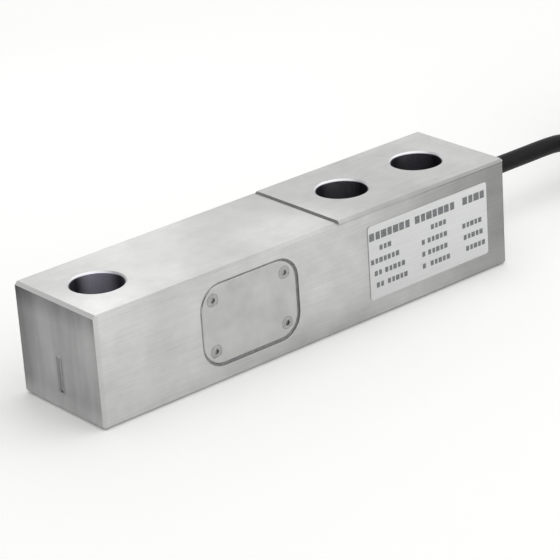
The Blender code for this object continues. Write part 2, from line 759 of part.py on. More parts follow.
def cable_ties(hank_axis, paint):
    """One tie round each straight side, with its head on top."""
    width = HANK_OUTER - HANK_INNER + 2 * SEAT_GAP
    height = HANK_TOP - HANK_FLOOR + 2 * SEAT_GAP
    wall = 2 * TIE_THICKNESS
    band = box("cable_tie", (TIE_WIDTH, width + wall, height + wall), chamfer=0.0003)
    window = box("tie_window", (TIE_WIDTH + 2 * OVERCUT, width, height))
    head_level = (height + TIE_THICKNESS + TIE_HEAD_HEIGHT) / 2
    size = (TIE_HEAD, TIE_HEAD, TIE_HEAD_HEIGHT)
    head = box("tie_head", size, (0, 0, head_level), chamfer=0.0003)
    along = HANK_RUN / 2 - TIE_FROM_FOLD
    level = (HANK_FLOOR + HANK_TOP) / 2
    for number, side in ((1, -1), (2, 1)):
        spot = (along, side * HANK_MIDDLE, level)
        tie = place(f"cable_tie_{number}", band, paint, hank_axis, spot)
        combine(tie, cutter(head, hank_axis, spot), "UNION")
        combine(tie, cutter(window, hank_axis, spot))


def tail(hank_axis, paint, sleeve_paint):
    """The cable's free end on the hank's front side, in a short sleeve."""
    steps = [TAIL_START - TAIL_LENGTH * k / 4 for k in range(5)]
    line = [(x, -HANK_MIDDLE, TAIL_HEIGHT) for x in steps]
    cable_tube("cable_tail", line, paint, hank_axis)
    mesh = ring("cable_sleeve", CABLE_BORE / 2, SLEEVE_RADIUS, 0, SLEEVE_LENGTH)
    spot = (TAIL_END + SLEEVE_ENTRY, -HANK_MIDDLE, TAIL_HEIGHT)
    place("cable_sleeve", mesh, sleeve_paint, hank_axis, spot, (0, -math.pi / 2, 0))


def flying_leads(hank_axis, paints):
    """Leads and shield wire that leave the sleeve and follow the hank's round end."""
    level = HANK_TOP + SEAT_GAP + LEAD_DIAMETER / 2
    sleeve_end = TAIL_END + SLEEVE_ENTRY - SLEEVE_LENGTH
    fold_x = -HANK_RUN / 2
    for k, (name, place_angle) in enumerate(LEADS.items()):
        lane = HANK_MIDDLE + ((len(LEADS) - 1) / 2 - k) * LEAD_SPREAD
        turn = math.radians(place_angle)
        packed = -HANK_MIDDLE - LEAD_CIRCLE / 2 * math.cos(turn)
        height = TAIL_HEIGHT + LEAD_CIRCLE / 2 * math.sin(turn)
        points = [
            (TAIL_END - SEAT_GAP, packed, height),
            (sleeve_end - LEAD_DIAMETER, packed, height),
            (sleeve_end - LEAD_FALL, -lane, level),
        ]
        for step in range(7):
            angle = math.radians(LEAD_TURN) * step / 6
            along = fold_x - lane * math.sin(angle)
            points.append((along, -lane * math.cos(angle), level))
        label = "shield_drain" if name == "shield" else f"flying_lead_{name}"
        tube(label, points, LEAD_DIAMETER, paints[name], hank_axis)


def main():
    clear_scene()
    nickel = material("nickel_plated_steel", (0.55, 0.55, 0.53), 0.34, 1.0)
    bright = material("nickel_plated_brass", (0.60, 0.59, 0.55), 0.28, 1.0)
    screw_steel = material("screw_steel", (0.38, 0.38, 0.37), 0.35, 1.0)
    rubber = material("black_rubber", (0.020, 0.020, 0.020), 0.75)
    foil = material("gauge_foil", (0.62, 0.38, 0.12), 0.45, 0.3)
    glass_epoxy = material("glass_epoxy", (0.08, 0.28, 0.14), 0.55)
    copper_wire = material("enamelled_wire", (0.45, 0.13, 0.05), 0.40, 0.6)
    plate_foil = material("rating_plate_foil", (0.66, 0.66, 0.64), 0.40, 0.5)
    jacket = material("cable_jacket", (0.012, 0.012, 0.014), 0.48)
    nylon = material("tie_nylon", (0.030, 0.030, 0.032), 0.50)
    shrink = material("shrink_sleeve", (0.016, 0.016, 0.017), 0.42)
    wires = {name: material(f"lead_{name}", LEAD_COLOURS[name], 0.45) for name in LEADS}

    square = math.pi / 2
    front = axis("front_side", (POCKET_X, -SIDE, POCKET_ABOVE_BASE), (square, 0, 0))
    rear = axis("rear_side", (POCKET_X, SIDE, POCKET_ABOVE_BASE), (square, 0, math.pi))
    exit_axis = axis("cable_axis", (CABLE_END, CABLE_SIDE, CABLE_HEIGHT), (0, square, 0))
    hank_axis = axis("hank_axis", (HANK_CENTRE_X, HANK_CENTRE_Y, 0))

    spring_element(nickel, (front, rear), exit_axis)
    for label, side in (("front", front), ("rear", rear)):
        cover(f"{label}_cover", side, nickel)
        gasket(f"{label}_gasket", side, rubber)
        cover_screws(label, side, screw_steel)
        strain_gauges(label, side, foil)
        terminal_strip(f"terminal_strip_{label}", side, glass_epoxy)
    bridge_wires(copper_wire)
    signal_leads(wires)
    rating_plate(plate_foil)

    gland_body(exit_axis, bright)
    gland_nut(exit_axis, bright)
    strain_relief_boot(exit_axis, rubber)
    cable_in_gland(exit_axis, rubber, jacket)
    cable_run(jacket)
    hank(hank_axis, jacket)
    cable_ties(hank_axis, nylon)
    tail(hank_axis, jacket, shrink)
    flying_leads(hank_axis, wires)


main()
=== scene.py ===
# %% [markdown]
# # Single ended shear beam load cell
# A load cell of this kind is one machined steel bar. Two bolts hold its thick end down, a third
# hole takes the load, and strain gauges in two sealed pockets feel how the thin web between the
# pockets shears. The CAD model gives every solid its place. This script dresses it: it lays the
# real cable, makes the small parts that CAD leaves plain, and gives each surface its finish.

import math

import bmesh
import bpy
from mathutils import Matrix, Vector
from mathutils.geometry import interpolate_bezier


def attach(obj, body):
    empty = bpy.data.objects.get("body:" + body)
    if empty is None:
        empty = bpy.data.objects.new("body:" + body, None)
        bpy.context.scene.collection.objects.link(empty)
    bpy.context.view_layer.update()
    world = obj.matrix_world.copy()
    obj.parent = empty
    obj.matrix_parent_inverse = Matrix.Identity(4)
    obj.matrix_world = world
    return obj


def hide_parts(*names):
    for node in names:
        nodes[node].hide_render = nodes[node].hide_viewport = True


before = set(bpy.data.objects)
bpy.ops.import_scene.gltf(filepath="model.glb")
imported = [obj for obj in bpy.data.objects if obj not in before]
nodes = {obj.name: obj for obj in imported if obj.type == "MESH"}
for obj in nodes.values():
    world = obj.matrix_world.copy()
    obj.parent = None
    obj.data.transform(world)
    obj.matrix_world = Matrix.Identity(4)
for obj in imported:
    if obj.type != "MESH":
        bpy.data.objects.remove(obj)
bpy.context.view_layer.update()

# %% [markdown]
# ## Camera
# The camera stands where the photograph was taken from. Its place and lens were worked out from
# the corners of the bar and the rims of its three holes, which are all of known size. A long lens
# from about 63 cm away gives the weak perspective of a product picture.

# %% Camera
def put(name, data):
    """An object with its data, as a part of the scene."""
    made = bpy.data.objects.new(name, data)
    bpy.context.scene.collection.objects.link(made)
    return made


eye = Vector((-0.36739, -0.45492, 0.26144))
forward = Vector((0.57995348, 0.71382402, -0.39256749))
right = Vector((0.75711093, -0.65017043, -0.06372956))
up = right.cross(forward)

camera_data = bpy.data.cameras.new("camera")
camera_data.sensor_width = 36
camera_data.lens = 166.47
camera_data.clip_start = 0.01
camera_data.clip_end = 30
camera = put("camera", camera_data)
camera.matrix_world = Matrix((right, up, -forward)).transposed().to_4x4()
camera.location = eye
bpy.context.scene.camera = camera
print("camera elevation in degrees:", round(math.degrees(math.asin(-forward.z)), 1))

# %% [markdown]
# ## The cable's path
# A load cell has its cable for life, so three metres of it leave the gland. Most of that is out of
# the picture: it is folded into a hank of two columns and six layers, the way such cables are
# packed, and held by two ties. A cable is one line from end to end, so it is modelled as one
# curve with a round section, and all the work goes into the line that it follows. It starts inside
# the bar, comes out of the boot and sinks to the floor.

# %% Cable route from the gland to the hank
cable_diameter = 0.0048
boot_tip = Vector((0.0854, 0.0098, 0.0138))
core_start = Vector((0.0600, 0.0098, 0.0138))
route = [
    (0.0003, 0, 0.0138), (0.0040, 0, 0.0138), (0.0080, 0, 0.0138), (0.0120, 0, 0.0138),
    (0.0160, 0, 0.0138), (0.0200, 0, 0.0138), (0.0240, 0.0001, 0.0136),
    (0.0280, 0.0003, 0.0129), (0.0320, 0.0007, 0.0117), (0.0360, 0.0012, 0.0102),
    (0.0400, 0.0018, 0.0085), (0.0440, 0.0024, 0.0068), (0.0480, 0.0029, 0.0053),
    (0.0520, 0.0034, 0.0043), (0.0560, 0.0037, 0.0038), (0.0575, 0.00375, 0.00375),
]
corners = [core_start + (boot_tip - core_start) * k / 6 for k in range(6)]
corners += [Vector((boot_tip.x + x, boot_tip.y + y, z)) for x, y, z in route]


def smooth_line(points, steps):
    """Points on one smooth line through all the given ones."""
    ends = [points[0]] + points + [points[-1]]
    line = []
    for before, a, b, after in zip(ends, ends[1:], ends[2:], ends[3:]):
        leave, arrive = a + (b - before) / 6, b - (after - a) / 6
        line += interpolate_bezier(a, leave, arrive, b, steps + 1)[:-1]
    return line + [points[-1]]


lead_in = smooth_line(corners, 2)
print("points up to the hank:", len(lead_in))

# %% [markdown]
# ## The hank
# On the bench the strand is laid round two pegs, side by side and then layer upon layer. In the
# script a counter goes up by one for each loop. `slot_at` says in which column and layer the
# strand lies at a count, `loop_point` says where on the loop that is, and the two together give
# each point of the line. Between two slots the strand eases over, so it never jumps and never
# runs through itself. After the last loop it rises to the top of the stack and ends in a tail.

# %% The wound hank
hank_centre = Vector((0.199075, -0.0057, 0))
hank_run = 0.084
hank_fold = 0.0144
pitch = 0.00485
layers = 6
hank_floor = 0.0013
hank_top = hank_floor + layers * pitch
hank_middle = hank_fold + pitch / 2
tail_height = hank_top + 0.0034
slots = []
for layer in range(layers):
    slots += [(column, layer) for column in ((1, 0) if layer % 2 == 0 else (0, 1))]
# The strand eases over within 22 mm of a straight run: five times on one run, then six times on
# the other, and each time a little earlier, so the crossings don't lie on top of one another.
shift = 0.022 / hank_run / 4
stagger = 0.143
shifts = [(2, 0.84 - stagger * k) for k in range(5)] + [(0, 0.86 - stagger * k) for k in range(6)]


def ease(t):
    """Goes from 0 to 1 with a soft start and a soft stop."""
    t = min(1.0, max(0.0, t))
    return (1 - math.cos(math.pi * t)) / 2


def slot_at(turn):
    """Column and layer of the strand after so many loops."""
    column, layer = slots[0]
    for k, (run, part) in enumerate(shifts):
        moved = ease((turn - (k + (run + part) / 4)) / shift + 0.5)
        column += (slots[k + 1][0] - slots[k][0]) * moved
        layer += (slots[k + 1][1] - slots[k][1]) * moved
    return column, layer


def loop_point(turn, radius, height):
    """A place on the loop: two straight runs and the two folds between them."""
    quarter, part = int(turn % 1 * 4), turn % 1 * 4 % 1
    half = hank_run / 2
    if quarter == 0:
        return Vector((-half + hank_run * part, radius, height))
    if quarter == 2:
        return Vector((half - hank_run * part, -radius, height))
    side = 1 if quarter == 1 else -1
    angle = side * math.pi / 2 - math.pi * part
    return Vector((side * half + radius * math.cos(angle), radius * math.sin(angle), height))


# On its last loop the strand rises, from 16 mm to 42 mm along the second straight run.
whole_loops = 10
rise_from = whole_loops + (2 + 0.016 / hank_run) / 4
rise_to = whole_loops + (2 + 0.042 / hank_run) / 4
run_pieces, fold_pieces = 34, 22
turns = []
for loop in range(whole_loops + 1):
    for quarter in range(4):
        pieces = run_pieces if quarter % 2 == 0 else fold_pieces
        turns += [loop + (quarter + k / pieces) / 4 for k in range(pieces)]
turns = [turn for turn in turns if turn < rise_to] + [rise_to]
wound = []
for turn in turns:
    column, layer = slot_at(turn)
    climb = (turn - rise_from) / (rise_to - rise_from)
    radius, height = hank_fold + column * pitch, hank_floor + (layer + 0.5) * pitch
    radius += (hank_middle - radius) * ease((climb - 0.4) / 0.6)
    height += (tail_height - height) * ease(climb)
    wound.append(hank_centre + loop_point(turn, radius, height))
tail_step, tail_pieces = 0.0026, 10
tail_along = [-tail_step * k for k in range(1, tail_pieces + 1)]
tail = [hank_centre + Vector((along, -hank_middle, tail_height)) for along in tail_along]
cable_line = lead_in + wound + tail
cable_length = sum((b - a).length for a, b in zip(cable_line, cable_line[1:]))
print("cable length in m:", round(cable_length, 3), "points:", len(cable_line))

# %% [markdown]
# ## From line to cable
# A curve object with a round bevel sweeps the section along the line, and keeps it square to the
# line in every bend, which is just what an extruder does. The curve is then turned into a mesh,
# because a mesh has an exact size, and the cable has to stay inside the CAD model's box.

# %% One curve with a round section
cable_curve = bpy.data.curves.new("signal_cable", "CURVE")
cable_curve.dimensions = "3D"
cable_curve.bevel_depth = cable_diameter / 2
cable_curve.bevel_resolution = 5
cable_curve.use_fill_caps = True
strand = cable_curve.splines.new("POLY")
strand.points.add(len(cable_line) - 1)
for spot, point in zip(strand.points, cable_line):
    spot.co = (*point, 1)
strand.use_smooth = True
drawn = bpy.data.objects.new("drawn_cable", cable_curve)
cable_mesh = bpy.data.meshes.new_from_object(drawn)
bpy.data.objects.remove(drawn)
signal_cable = put("signal_cable", cable_mesh)
print("cable faces:", len(cable_mesh.polygons))
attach(signal_cable, "root")
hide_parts("cable_core", "cable", "cable_hank", "cable_tail")

# %% [markdown]
# ## Floor
# A product of this kind is photographed on a sweep of white paper. The floor is one flat grid with
# a dull paper finish. For the camera, and for what the metal mirrors, it also glows a little, so
# that it reads as white, while the shadow under the bar and the cable stays.
#
# The helpers for materials come first. `linear` turns the colours that people write, as sRGB hex,
# into the values that light is reckoned with. `add` puts a node into a material, sets it and links
# it, and `new_material` starts a material off with a colour, a roughness and a share of metal.
# `streaks` makes the fine lines that rolling, grinding and milling leave on metal.

# %% Floor
def linear(code):
    """An sRGB hex colour as the linear colour that shaders work with."""
    parts = [int(code[k : k + 2], 16) / 255 for k in (1, 3, 5)]
    return (*[p / 12.92 if p <= 0.04045 else ((p + 0.055) / 1.055) ** 2.4 for p in parts], 1)


def wire(tree, node, links):
    """Links each source, which is an output or a node that gives its first one, to an input."""
    for key, source in links.items():
        tree.links.new(getattr(source, "outputs", [source])[0], node.inputs[key])


def add(tree, kind, settings=None, links=None):
    """A shader node with its properties and socket values set and its inputs linked."""
    made = tree.nodes.new("ShaderNode" + kind)
    for key, value in (settings or {}).items():
        if isinstance(key, str) and hasattr(made, key):
            setattr(made, key, value)
        else:
            made.inputs[key].default_value = value
    wire(tree, made, links or {})
    return made


def new_material(name, colour, roughness, metallic=0.0):
    """A principled material, with its node tree, its shader and the object's coordinates."""
    made = bpy.data.materials.new(name)
    made.use_nodes = True
    tree = made.node_tree
    shader = tree.nodes["Principled BSDF"]
    shader.inputs["Base Color"].default_value = linear(colour)
    shader.inputs["Roughness"].default_value = roughness
    shader.inputs["Metallic"].default_value = metallic
    return made, tree, shader, add(tree, "TexCoord").outputs["Object"]


def streaks(tree, place, waves, detail):
    """A noise drawn out into lines, with so many waves in a metre along each axis."""
    stretch = add(tree, "Mapping", {"Scale": waves}, {"Vector": place})
    return add(tree, "TexNoise", {"Scale": 1, "Detail": detail}, {"Vector": stretch})


# Settings that many nodes share.
rgba = {"data_type": "RGBA"}
multiply = {"operation": "MULTIPLY"}
multiply_add = {"operation": "MULTIPLY_ADD"}

bm = bmesh.new()
bmesh.ops.create_grid(bm, x_segments=1, y_segments=1, size=12)
bmesh.ops.translate(bm, vec=(0, 0, -0.0001), verts=bm.verts)
floor_mesh = bpy.data.meshes.new("floor")
bm.to_mesh(floor_mesh)
bm.free()
floor = put("floor", floor_mesh)

paper, tree, sheet, place = new_material("white_paper_sweep", "#f4f4f3", 0.9)
sheet.inputs["Specular IOR Level"].default_value = 0.1
sheet.inputs["Emission Color"].default_value = linear("#ffffff")
path = add(tree, "LightPath")
seen = path.outputs["Is Camera Ray"]
for ray in ("Is Glossy Ray", "Is Transmission Ray"):
    seen = add(tree, "Math", {"operation": "MAXIMUM"}, {0: seen, 1: path.outputs[ray]})
lift = add(tree, "Math", {"operation": "MULTIPLY", 1: 0.12}, {0: seen})
# Fibres of about 2 mm keep the paper from looking like plastic in its shadows.
fibres = add(tree, "TexNoise", {"Scale": 500, "Detail": 3}, {"Vector": place})
felt = add(tree, "Bump", {"Strength": 0.2, "Distance": 0.00002}, {"Height": fibres})
wire(tree, sheet, {"Emission Strength": lift, "Normal": felt})
floor_mesh.materials.append(paper)
print("floor faces:", len(floor_mesh.polygons))

# %% [markdown]
# ## Lamps and room
# Plated metal has hardly a colour of its own: it shows what stands round it. So each surface is
# lit by what it mirrors from the camera. The top mirrors a point behind the bar, where a softbox
# and a small bright card stand, and it is brightest there. The long side and the end mirror the
# floor in front of them, which two very large softboxes light evenly. Large and weak beats small
# and strong here, because a small lamp would burn out wherever the metal mirrors it.

# %% Lamps and world
def lamp(name, place, aim, size, power):
    """A square softbox at a place, turned towards the point that it lights."""
    data = bpy.data.lights.new(name, "AREA")
    data.shape = "SQUARE"
    data.size = size
    data.energy = power
    made = put(name, data)
    made.location = place
    made.rotation_euler = (Vector(aim) - Vector(place)).to_track_quat("-Z", "Y").to_euler()


lamp("back_softbox", (0.25, 0.38, 0.25), (-0.05, 0, 0.02), 0.30, 0.08)
lamp("side_softbox", (0.62, -0.78, 0.30), (0.05, -0.05, 0), 1.6, 5.5)
lamp("overhead_softbox", (-0.1, -0.1, 1.2), (0, 0, 0), 1.4, 5.0)
lamp("window_card", (0.06, 0.20, 0.14), (-0.05, 0, 0.0286), 0.10, 0.02)
world = bpy.data.worlds.new("studio")
bpy.context.scene.world = world
world.use_nodes = True
tree = world.node_tree
sky = tree.nodes["Background"]
sky.inputs["Color"].default_value = linear("#ffffff")
facing = add(tree, "TexCoord").outputs["Generated"]
# The room is brightest behind the cable end and overhead, and darkest behind the load end.
glow = add(tree, "VectorMath", {"operation": "DOT_PRODUCT", 1: (0.42, 0.10, 0.25)}, {0: facing})
level = add(tree, "Math", {"operation": "ADD", 1: 0.44}, {0: glow.outputs["Value"]})
lit = add(tree, "Math", {"operation": "MAXIMUM", 1: 0.02}, {0: level})
wire(tree, sky, {"Strength": lit})
bpy.context.scene.view_settings.view_transform = "Standard"
print("lamps:", len(bpy.data.lights))

# %% [markdown]
# ## Nickel plated steel
# The bar is milled and ground, then nickel plated against rust. The plating follows the ground
# surface, so it looks like satin: a neutral grey with soft reflections, fine lines along the bar,
# and a faint cloudiness where the bath left the plating thicker.
#
# The whole bar is one material, but its surfaces differ. This cell makes what they all have. Each
# of the next ones adds painted shade and highlights or a kind of machining, and the last one joins them.

# %% Plating and grinding lines
# To the eye: satin silver with a brushed direction, and clouds that only show at a second look.
nickel, tree, shader, place = new_material("satin_nickel_plate", "#cacac9", 0.38, 1.0)
x_at, y_at, z_at = add(tree, "SeparateXYZ", links={"Vector": place}).outputs
# Clouds of the plating, about 8 mm across.
cloud = add(tree, "TexNoise", {"Scale": 120, "Detail": 5, "Roughness": 0.6}, {"Vector": place})
plating = add(tree, "Mix", {**rgba, 6: linear("#b7b7b6"), 7: linear("#dbdbda")}, {0: cloud})
# Grinding lines along the bar, about 0.2 mm apart and 10 mm long.
lines = streaks(tree, place, (100, 5000, 5000), 3)
faint = {"From Min": 0.3, "From Max": 0.62, "To Min": 0.90, "To Max": 1.0}
scored = add(tree, "MapRange", faint, {"Value": lines})
print("nickel so far:", len(tree.nodes), "nodes")

# %% [markdown]
# ## Telling the bar's surfaces apart
# The CAD bar is one mesh, but a point's place on it tells which surface it belongs to. A surface
# gets a mask, which is 1 on it and 0 elsewhere, by comparing a coordinate with a bound. Each bound
# lies a little short of the surface that it stands for, so that no rounding can flip the mask. Two
# masks multiplied give the place where two surfaces meet, such as a filed edge.

# %% Masks for the bar's surfaces
off_line = add(tree, "Math", {"operation": "ABSOLUTE"}, {0: y_at})
from_middle = add(tree, "Math", {"operation": "ABSOLUTE"}, {0: x_at})
on = {}
for surface, measure, bound in (
    ("long side", off_line, 0.01586),
    ("outer edge", off_line, 0.01509),
    ("end face", from_middle, 0.06495),
    ("end edge", from_middle, 0.06421),
    ("upper edge", z_at, 0.02781),
    ("above the groove", z_at, 0.02795),
    ("pad", z_at, 0.02868),
):
    on[surface] = add(tree, "Math", {"operation": "GREATER_THAN", 1: bound}, {0: measure})
groove_x, groove_half = 0.0085, 0.00054
on["groove line"] = add(tree, "Math", {"operation": "COMPARE", 1: groove_x, 2: groove_half}, {0: x_at})
for surface, one, other in (
    ("filed edge", "outer edge", "upper edge"),
    ("highlighted end edge", "end edge", "upper edge"),
    ("sawn groove", "groove line", "above the groove"),
):
    on[surface] = add(tree, "Math", multiply, {0: on[one], 1: on[other]})
print("masks:", ", ".join(on))

# %% [markdown]
# ## Painted shade and highlights on the top and the long sides
# Light and shade are painted into the plating here. Towards the cable end the tone darkens, a painted
# shade; on the two long sides this starts 55 mm later than on the top, and goes further. A painted
# shade lies at the far corner of the load end, and painted highlights at its front corner and in
# front of the groove. Low on the long sides there is painted shade at the bar's middle and a painted
# highlight at the mounting end. The long upper edges were broken with a file and carry a painted
# shade, and the pad beyond the groove has a painted highlight that grows towards its end.
#
# Each of these is a number near 1, and the tone of the plating is multiplied by all of them.

# %% Painted shade and highlights on the long sides and the top
smooth = {"interpolation_type": "SMOOTHSTEP"}
# Painted shade: the tone darkens towards the cable end, later and deeper on the long sides.
starts = add(tree, "Math", {**multiply_add, 1: 0.055, 2: -0.055}, {0: on["long side"]})
darkest_painted_shade = add(tree, "Math", {**multiply_add, 1: -0.23, 2: 0.72}, {0: on["long side"]})
sources = {"Value": x_at, "From Min": starts, "To Max": darkest_painted_shade}
painted_shade_to_cable_end = add(tree, "MapRange", {**smooth, "From Max": 0.068, "To Min": 1.0}, sources)
# Painted shade on the long upper edges.
filed_edge_painted_shade = add(tree, "Math", {**multiply_add, 1: -0.18, 2: 1.0}, {0: on["filed edge"]})
# Patches round a point: how they fade, the point, from where to where they fade, and their share.
# Painted shade at the load end's far corner, and painted highlights at its front corner and in front of the
# groove.
patches = []
painted_highlight_share = 1.26
for fade, spot, near, far, share in (
    ("LINEAR", (-0.065, 0.016, 0.0286), 0.004, 0.030, 0.80),
    ("SMOOTHSTEP", (-0.060, -0.013, 0.0286), 0.003, 0.017, 1.12),
    ("SMOOTHSTEP", (0.0, -0.012, 0.0286), 0.004, 0.021, painted_highlight_share),
):
    reach = add(tree, "VectorMath", {"operation": "DISTANCE", 1: spot}, {0: place})
    slope = {"interpolation_type": fade, "From Min": near, "From Max": far, "To Min": share, "To Max": 1.0}
    patches.append(add(tree, "MapRange", slope, {"Value": reach.outputs["Value"]}))
painted_corner_shade, painted_corner_highlight, painted_groove_highlight = patches
# The painted highlight in front of the groove hardly shows on the long side.
weaker = {**multiply_add, 1: -0.23, 2: painted_highlight_share}
side_highlight_share = add(tree, "Math", weaker, {0: on["long side"]})
wire(tree, painted_groove_highlight, {"To Min": side_highlight_share})
# Low on the long sides: painted shade up to the bar's middle, a painted highlight beyond it. Both fade out 10
# mm above the floor.
painted_shade_mid, painted_highlight_end = [
    add(tree, "MapRange", {**smooth, "From Min": start, "From Max": stop, "To Max": change}, {"Value": x_at})
    for start, stop, change in ((-0.045, 0.0, -0.22), (0.010, 0.040, 0.45))
]
painted_light_along = add(tree, "Math", {"operation": "ADD"}, {0: painted_shade_mid, 1: painted_highlight_end})
near_floor = {**smooth, "From Min": 0.0005, "From Max": 0.010, "To Max": 0.0}
low = add(tree, "MapRange", near_floor, {"Value": z_at, "To Min": painted_light_along})
painted_light_low = add(tree, "Math", {**multiply_add, 2: 1.0}, {0: on["long side"], 1: low})
# Painted highlight on the pad, growing towards its end.
pad_length = {**smooth, "From Min": 0.026, "From Max": 0.062, "To Min": 0.07, "To Max": 0.36}
pad_highlight_ramp = add(tree, "MapRange", pad_length, {"Value": x_at})
painted_pad_highlight = add(tree, "Math", {**multiply_add, 2: 1.0}, {0: on["pad"], 1: pad_highlight_ramp})
# The plating's tone is multiplied by all the painted shade and highlights and by the grinding lines.
painted_light_and_lines = painted_shade_to_cable_end
for share in (filed_edge_painted_shade, painted_corner_shade, painted_corner_highlight, painted_light_low, painted_pad_highlight, painted_groove_highlight, scored):
    painted_light_and_lines = add(tree, "Math", multiply, {0: painted_light_and_lines, 1: share})
plating_and_painted_light = add(tree, "VectorMath", {"operation": "SCALE"}, {0: plating.outputs[2], "Scale": painted_light_and_lines})
print("nickel so far:", len(tree.nodes), "nodes")

# %% [markdown]
# ## Ends of the bar
# The end faces are milled only, so they are rougher than the ground sides, and their tone is mixed
# towards a darker grey, a painted shade. Each pass of the end mill leaves an upright band, 3 or 4 mm
# wide. A painted shade darkens the 6 mm below the upper edge and the rear of each end, and a painted
# highlight lightens the lowest 6 mm. The upper edge of each end has a painted highlight.
#
# On the load end a short slot marks the load's line. A narrow slot mirrors its own walls and goes
# black, so its cut floor is painted light. A painted shade, which fades out 1.6 mm from the slot's
# middle line, makes the mark.

# %% Milled ends and the load mark
# Painted shade: the end faces are mixed towards a darker grey.
painted_end_shade = add(tree, "Math", {"operation": "MULTIPLY", 1: 0.55}, {0: on["end face"]})
end_tone_with_shade = add(tree, "Mix", {**rgba, 7: linear("#8e8f90")}, {0: painted_end_shade, 6: plating_and_painted_light})
passes = streaks(tree, place, (1, 280, 28), 3)
dim_to_bright = {"From Min": 0.35, "From Max": 0.65, "To Min": -0.12, "To Max": 0.06}
bands_and_painted_light = add(tree, "MapRange", dim_to_bright, {"Value": passes})
# Painted shade below the upper edge and at the rear, and a painted highlight on the lowest 6 mm.
for measure, start, stop, before, after in (
    (z_at, 0.0215, 0.0280, 0.0, -0.36),
    (y_at, 0.0070, 0.0150, 0.0, -0.38),
    (z_at, 0.0, 0.0060, 0.45, 0.0),
):
    slope = {**smooth, "From Min": start, "From Max": stop, "To Min": before, "To Max": after}
    ramp = add(tree, "MapRange", slope, {"Value": measure})
    bands_and_painted_light = add(tree, "Math", {"operation": "ADD"}, {0: bands_and_painted_light, 1: ramp})
end_bands_and_light = add(tree, "Math", {**multiply_add, 2: 1.0}, {0: on["end face"], 1: bands_and_painted_light})
ends = add(tree, "VectorMath", {"operation": "SCALE"}, {0: end_tone_with_shade.outputs[2], "Scale": end_bands_and_light})

# Painted shade round the load mark's slot, and painted light on the slot's floor.
mark_middle, mark_end = 0.0093, -0.0644
off_centre = add(tree, "Math", {"operation": "SUBTRACT", 1: mark_middle}, {0: z_at})
up_or_down = add(tree, "Math", {"operation": "ABSOLUTE"}, {0: off_centre})
painted_mark_shade = add(tree, "Math", {"operation": "LESS_THAN", 1: mark_end}, {0: x_at})
for measure, full, gone in ((off_line, 0.0005, 0.0016), (up_or_down, 0.0042, 0.0050)):
    slope = {"From Min": full, "From Max": gone, "To Min": 1.0, "To Max": 0.0}
    within = add(tree, "MapRange", slope, {"Value": measure})
    painted_mark_shade = add(tree, "Math", multiply, {0: painted_mark_shade, 1: within})
in_slot = add(tree, "Math", {"operation": "LESS_THAN", 1: 0.00053}, {0: off_line})
painted_slot_light = add(tree, "Math", multiply, {0: painted_mark_shade, 1: in_slot})
tone = ends
# A painted highlight on each end's upper edge, then the painted shade of the load mark and the painted light
# on the slot's floor.
for mask, colour in ((on["highlighted end edge"], "#f4f4f3"), (painted_mark_shade, "#7e7f81"), (painted_slot_light, "#c9c9c8")):
    shade = {**rgba, 7: linear(colour)}
    tone = add(tree, "Mix", shade, {0: mask, 6: tone}).outputs[2]
print("nickel so far:", len(tree.nodes), "nodes")

# %% [markdown]
# ## Bolt holes
# The drilled wall of each bolt hole carries a painted shade, a dark grey, apart from its far side,
# which faces the camera's way and has a painted highlight and a less metallic finish, most of all in
# the load hole. The chamfer at each mouth has a painted highlight. The distance from the hole's axis
# tells the two apart, and the direction from the axis tells which side of the wall a point is on.

# %% Bolt holes
mouth_radius, wall_radius = 0.00698, 0.00662
to_lit_wall = (0.63, 0.78, 0)
flat = add(tree, "VectorMath", {"operation": "MULTIPLY", 1: (1, 1, 0)}, {0: place})
metal = add(tree, "Value")
metal.outputs[0].default_value = 1.0
# Each hole: its place along the bar, the colour of the painted highlight on its far wall, and how much less
# metallic that wall is.
holes = ((-0.0523, "#f0eeff", -0.45), (0.0239, "#c4c4ca", -0.04), (0.0493, "#c0c0c8", -0.02))
for hole_x, wall_highlight_colour, matt in holes:
    spoke = add(tree, "VectorMath", {"operation": "SUBTRACT", 1: (hole_x, 0, 0)}, {0: flat})
    gap = add(tree, "VectorMath", {"operation": "LENGTH"}, {0: spoke}).outputs["Value"]
    in_mouth = add(tree, "Math", {"operation": "LESS_THAN", 1: mouth_radius}, {0: gap})
    in_hole = add(tree, "Math", {"operation": "LESS_THAN", 1: wall_radius}, {0: gap})
    faces = add(tree, "VectorMath", {"operation": "DOT_PRODUCT", 1: to_lit_wall}, {0: spoke})
    to_wall = {**smooth, "From Min": 0.0038, "From Max": 0.0066}
    share = add(tree, "MapRange", to_wall, {"Value": faces.outputs["Value"]})
    # Painted shade on the wall, turning into a painted highlight on its far side.
    wall_shade_and_highlight = {**rgba, 6: linear("#66666d"), 7: linear(wall_highlight_colour)}
    wall = add(tree, "Mix", wall_shade_and_highlight, {0: share}).outputs[2]
    # Painted highlight on the mouth's chamfer.
    mouth_highlight = {**rgba, 7: linear("#dedee0")}
    tone = add(tree, "Mix", mouth_highlight, {0: in_mouth, 6: tone}).outputs[2]
    tone = add(tree, "Mix", rgba, {0: in_hole, 6: tone, 7: wall}).outputs[2]
    lit_wall_share = add(tree, "Math", multiply, {0: in_hole, 1: share})
    metal = add(tree, "Math", {**multiply_add, 1: matt}, {0: lit_wall_share, 2: metal})
print("nickel so far:", len(tree.nodes), "nodes")

# %% [markdown]
# ## Joining the bar's finish
# The groove across the top is cut last, by a narrow saw, and is the roughest place of the bar; it
# is painted light, a plain pale grey without the painted shade round it. Roughness is what tells
# the other surfaces apart in a reflection: the ground sides have the lowest, the milled ends a
# little more, and the filed edges more again. The grinding lines are drawn a few thousandths of a
# millimetre deep, which is enough for the eye to see in which direction the bar was ground.

# %% Nickel plated steel on the bar
def coat(surface, *names):
    """Gives pieces of the CAD model a material."""
    for name in names:
        nodes[name].material_slots[0].material = surface


